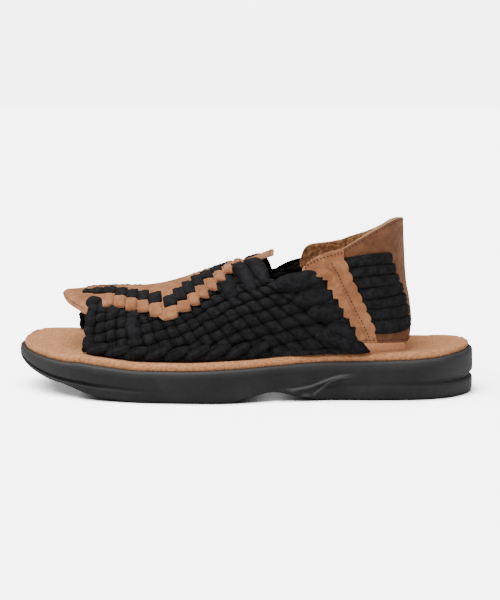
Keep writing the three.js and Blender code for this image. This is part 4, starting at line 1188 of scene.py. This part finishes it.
def strap_place(turn, z):
    up = (z - SEAT) / BACK_RISE
    half = STRAP_WIDTH * read(STRAP_PROFILE, 1, up)
    back = to_x(read(STRAP_PROFILE, 2, up))
    bend = to_x(STRAP_BEND_AT)
    side = side_of(turn)
    amount = abs(turn)
    if amount > CURVE_SHARE:
        share = (amount - CURVE_SHARE) / (1 - CURVE_SHARE)
        return Vector((bend + (to_x(STRAP_FRONT_AT) - bend) * share, side * half))
    angle = math.pi / 2 * amount / CURVE_SHARE
    power = 2 / STRAP_ROUND
    x = bend + (back - bend) * max(math.cos(angle), 0) ** power
    return Vector((x, side * half * math.sin(angle) ** power))


def strap_point(turn, z, out):
    """A point of the heel strap: turn is -1 at the outer front, 0 behind, 1 at the inner front."""
    here = strap_place(turn, z)
    along = strap_place(turn + STRAP_STEP, z) - strap_place(turn - STRAP_STEP, z)
    along.normalize()
    return Vector((here.x + along.y * out, here.y - along.x * out, z))


def strap_turn(at, side, z):
    """The turn around the strap that lies at a share of the length, on one side."""
    start, end = 0, 1.05
    for _ in range(22):
        middle = (start + end) / 2
        if strap_place(side * middle, z).x / LENGTH + 0.5 > at:
            start = middle
        else:
            end = middle
    return side * (start + end) / 2


def strap_edge(turn, top):
    """Height of the strap's edge. Behind the heel the top edges of both sides run together."""
    inner = smoothstep(-BACK_BLEND, BACK_BLEND, turn)
    z = to_rise(0.8 if top else 0.1)
    for _ in range(4):
        at = strap_place(turn, z).x / LENGTH + 0.5
        if top:
            up = read(STRAP_EDGE, 1, at) * (1 - inner) + read(STRAP_EDGE, 2, at) * inner
        else:
            up = read(STRAP_EDGE, 3, at)
        z = to_rise(up)
    return z


INNER_FRONT = 1.03


def lining_place(along, across):
    turn = INNER_FRONT * along - 1 + along
    bottom = strap_edge(turn, False)
    return strap_point(turn, bottom + (strap_edge(turn, True) - bottom) * across, -LINING)


SPLIT_STOPS = (
    (0.32, (0.1, 0.037, 0.013)), (0.5, (0.29, 0.125, 0.05)), (0.68, (0.56, 0.3, 0.135)),
)
split_suede = leather_material("split_suede", SPLIT_STOPS, 420, 900, 0.9)
leather_sheet("strap_lining", 150, 24, lining_place, split_suede, ("upper",))


# Front edge of the side panel at the tips of its teeth, and rear edge at the notches of its
# scallops, by height share; then its front corner at the collar by share of the panel's height
PANEL_FRONT = (
    (0.05, 0.7605), (0.098, 0.7505), (0.162, 0.737), (0.243, 0.7243), (0.305, 0.7115),
    (0.387, 0.6991),
    (0.442, 0.6893), (0.513, 0.6766), (0.568, 0.6685), (0.6, 0.6645),
)
PANEL_REAR = (
    (0.05, 0.7845), (0.108, 0.7806), (0.185, 0.7739), (0.273, 0.7642), (0.348, 0.7552),
    (0.422, 0.7465),
    (0.497, 0.7372), (0.565, 0.7283), (0.643, 0.7198), (0.713, 0.713), (0.81, 0.7105),
)
PANEL_CORNER = (
    (0.82, 0.6645, 0.592), (0.88, 0.64, 0.6), (0.92, 0.6255, 0.612), (0.95, 0.6265, 0.645),
    (0.975, 0.631, 0.68),
    (1, 0.6413, 0.715),
)
PANEL_BOTTOM = 0.1
PANEL_TOP = 0.775
CORNER_FROM = 0.82
TEETH = 7
TOOTH_BOTTOM = 0.162
TOOTH_PITCH = 0.0677
TOOTH_DEPTH = 0.0105
SCALLOPS = 7
SCALLOP_BOTTOM = 0.185
SCALLOP_PITCH = 0.0754
SCALLOP_DEPTH = 0.0045
PANEL_STEP = 0.0002
PANEL_FRONT_LIFT = 0.0024
COUNTER_OVERLAP = 0.008
PANEL_REAR_LIFT = 0.0009


def panel_front(along):
    """Length share and height share of the front edge, and how far it is cut back by its teeth."""
    if along > CORNER_FROM:
        return read(PANEL_CORNER, 1, along), read(PANEL_CORNER, 2, along), 0
    up = PANEL_BOTTOM + (PANEL_CORNER[0][2] - PANEL_BOTTOM) * along / CORNER_FROM
    count = (up - TOOTH_BOTTOM) / TOOTH_PITCH
    return read(PANEL_FRONT, 1, up), up, count % 1 * TOOTH_DEPTH if 0 <= count < TEETH else 0


def panel_rear(along):
    """The same for the rear edge, whose scallops stand out."""
    up = PANEL_BOTTOM + (PANEL_TOP - PANEL_BOTTOM) * along
    count = (up - SCALLOP_BOTTOM) / SCALLOP_PITCH
    wave = abs(math.sin(math.pi * count)) ** 0.7 * SCALLOP_DEPTH if 0 <= count < SCALLOPS else 0
    return read(PANEL_REAR, 1, up), up, wave


def counter_place(along, across):
    side = side_of(along - 0.5)
    rough = to_rise(0.05 + 0.75 * across)
    front = strap_turn(panel_rear(0.85 * across)[0] - COUNTER_OVERLAP, side, rough)
    turn = abs(front) * (2 * along - 1)
    bottom = strap_edge(turn, False)
    return strap_point(turn, bottom + (strap_edge(turn, True) - bottom) * across, COUNTER_OFFSET)


BURNISHED_STOPS = (
    (0.33, (0.112, 0.041, 0.0175)), (0.5, (0.165, 0.062, 0.027)), (0.68, (0.235, 0.093, 0.043)),
)
burnished = leather_material("burnished_nubuck", BURNISHED_STOPS, 120, 2100, 0.42)
leather_sheet("heel_counter", 150, 60, counter_place, burnished, ("heel_counter",))


def panel_place(side, over=0):
    """The side panel's surface: it lies over the ends of the strands, and over the cords' ends."""
    def place(along, across):
        front, rear = panel_front(along), panel_rear(along)
        at = front[0] + (rear[0] - front[0]) * across
        at = at + front[2] * (1 - across) ** 6 + rear[2] * across ** 6
        z = to_rise(front[1] + (rear[1] - front[1]) * across)
        turn = strap_turn(at, side, z)
        edge = strap_edge(turn, True)
        z = min(z + (edge - z) * smoothstep(0.93, 1, along), edge)
        low = smoothstep(0, 0.08, along) * (1 - smoothstep(0.84, 0.92, along))
        overlap = COUNTER_OVERLAP / (rear[0] - front[0])
        rise = smoothstep(1 - 3.2 * overlap, 1 - 1.1 * overlap, across)
        out = COUNTER_OFFSET + (LEATHER + PANEL_STEP) * rise
        out += PANEL_FRONT_LIFT * smoothstep(0.55, 0.2, across) * low
        out += PANEL_REAR_LIFT * smoothstep(0.5, 0.7, across) * low
        return strap_point(turn, z, out + over)
    return place


for side, side_name in SIDES:
    name = f"side_panel_{side_name}"
    leather_sheet(name, 200, 36, panel_place(side), nubuck, (name,), turned=side == LATERAL)

# Heel cords: seven flat bands of soft black elastic at each side. Each comes out from under the
# scalloped edge of the side panel and goes into a slot of the counter.
CORD_COUNT = 7
CORD_HALF = 0.0013
# Height shares of the lines between the cords at the side panel and at the slots, and the slots'
# places around the strap
CORD_LEFT = (0.722, 0.653, 0.58, 0.5, 0.423, 0.36, 0.287, 0.18)
CORD_RIGHT = (0.76, 0.677, 0.605, 0.53, 0.453, 0.372, 0.28, 0.18)
SLOT_TURNS = (0.327, 0.295, 0.26, 0.22, 0.195, 0.18, 0.16)
UNDER_PANEL = 0.03
CORD_STEPS = 44
CORD_ARCH = 0.012
CORD_SWAY = 0.0003
CORD_FOLD = 0.00024
CORD_UV_LENGTH = 0.05


def heel_cord(side, side_name, index):
    left = (CORD_LEFT[index] + CORD_LEFT[index + 1]) / 2
    right = (CORD_RIGHT[index] + CORD_RIGHT[index + 1]) / 2
    left_half = (CORD_LEFT[index] - CORD_LEFT[index + 1]) * BACK_RISE / 2
    right_half = (CORD_RIGHT[index] - CORD_RIGHT[index + 1]) * BACK_RISE / 2
    share = (left - PANEL_BOTTOM) / (PANEL_TOP - PANEL_BOTTOM)
    start = abs(strap_turn(panel_rear(share)[0], side, to_rise(left))) + UNDER_PANEL
    end = SLOT_TURNS[index]
    rings = []
    phase = draw.uniform(0, 6)
    arch = CORD_ARCH * (1 - 2 * index / (CORD_COUNT - 1))
    for step in range(CORD_STEPS + 1):
        along = step / CORD_STEPS
        turn = side * (start + (end - start) * along)
        taper = math.sqrt(min(max((1 - along) * 20, 0.03), 1))
        thick = CORD_HALF * (0.25 + 0.75 * smoothstep(0.03, 0.3, along)) * taper
        half = left_half + (right_half - left_half) * along
        half *= 1.1 - 0.16 * smoothstep(0.85, 1, along)
        middle = to_rise(left + (right - left) * along + arch * math.sin(math.pi * along))
        middle += CORD_SWAY * math.sin(3 * along + phase)
        lift = COUNTER_OFFSET + LEATHER + thick * 0.9
        ring = []
        for angle in RING_ANGLE:
            pinch = 0.5 + 1.2 * abs(2 * along - 1) ** 3
            fold = CORD_FOLD * pinch * math.cos(6 * angle + phase + 2 * along)
            fold *= smoothstep(0.02, 0.15, along)
            z = middle + half * math.cos(angle) * math.sqrt(taper)
            bulge = math.copysign(abs(math.sin(angle)) ** 0.85, math.sin(angle))
            out = lift + thick * bulge + fold * taper
            ring.append(strap_point(turn, z, out))
        rings.append(ring)
    mesh = strand_mesh()
    # Crown share: painted shade darkens the cord's nylon at its edges and underside
    crowns = np.full((CORD_STEPS + 1, 1), 1) * np.clip(np.sin(RING_ANGLE), 0, 1)[None, :] ** 0.5
    strand_tube(mesh, rings, CORD_UV_LENGTH, crowns)
    name = f"heel_cord_{side_name}_{index + 1}"
    add_piece(name, mesh, nylon, (name,))


for side, side_name in SIDES:
    for index in range(CORD_COUNT):
        heel_cord(side, side_name, index)

# Stitching: waxed brown thread in running rows near the edges of the leather, pulled a little
# into it.
STITCH_PITCH = 0.0022
STITCH_LONG = 0.0014
STITCH_HALF = 0.00034
STITCH_RISE = 0.0004
STITCH_SAMPLES = 140
EDGE_INSET = 0.0017
thread, thread_tree, thread_shader = node_material("waxed_thread", 0.6)
thread_tone = ramp(thread_tree, noise(thread_tree, 800).outputs["Fac"], (
    (0.3, (0.009, 0.0045, 0.003)), (0.7, (0.02, 0.01, 0.006))))
thread_tree.links.new(thread_tone.outputs["Color"], thread_shader.inputs["Base Color"])


def stitch_row(mesh, place, start=0, end=1):
    """A running row of stitches along a line, whose points place gives from a share of it."""
    points = [place(start + (end - start) * i / STITCH_SAMPLES) for i in range(STITCH_SAMPLES + 1)]
    walked = 0
    target = STITCH_PITCH / 2
    for first, second in zip(points, points[1:]):
        step = (second - first).length
        while step and target <= walked + step:
            turn = (second - first).to_track_quat("X", "Z").to_matrix().to_4x4()
            size = Matrix.Diagonal((STITCH_LONG / 2, STITCH_HALF, STITCH_HALF, 1))
            middle = first.lerp(second, (target - walked) / step)
            bmesh.ops.create_uvsphere(mesh, u_segments=6, v_segments=4, radius=1,
                                      matrix=Matrix.Translation(middle) @ turn @ size)
            target += STITCH_PITCH
        walked += step


def chevron_line(side, at_start, at_end, inset):
    """A line inside the overlay's edge, from one length share to another."""
    def place(share):
        at = at_start + (at_end - at_start) * share
        up = 1 - max(chevron_reach(at) - inset, 0)
        out = chevron_out(at, up) + LEATHER
        return wall_place(side, at, up, out)
    return place


def counter_line(top):
    def place(share):
        turn = 2 * share - 1
        z = strap_edge(turn, top) + (-EDGE_INSET if top else EDGE_INSET)
        return strap_point(turn, z, COUNTER_OFFSET + LEATHER)
    return place


def seam_across(along):
    """The panel's rear seam, which turns back near the collar."""
    return 0.62 + 0.1 * smoothstep(0.8, 0.95, along)


stitches = bmesh.new()
stitch_row(stitches, counter_line(True), 0.16, 0.84)
stitch_row(stitches, counter_line(False), 0.26, 0.74)
for side in (LATERAL, MEDIAL):
    stitch_row(stitches, chevron_line(side, 0.107, 0.166, 0.055))
    stitch_row(stitches, chevron_line(side, 0.505, 0.562, 0.03))
    on_panel = panel_place(side, LEATHER + STITCH_RISE)
    stitch_row(stitches, lambda share: on_panel(0.965, share), 0.03, 0.97)
    stitch_row(stitches, lambda share: on_panel(share, seam_across(share)), 0.06, 0.94)
    stitch_row(stitches, lambda share: on_panel(0.035, share), 0.1, 0.95)
    stitch_row(stitches, lambda share: on_panel(share, 0.03), 0.93, 0.965)
add_piece("stitching", stitches, thread)
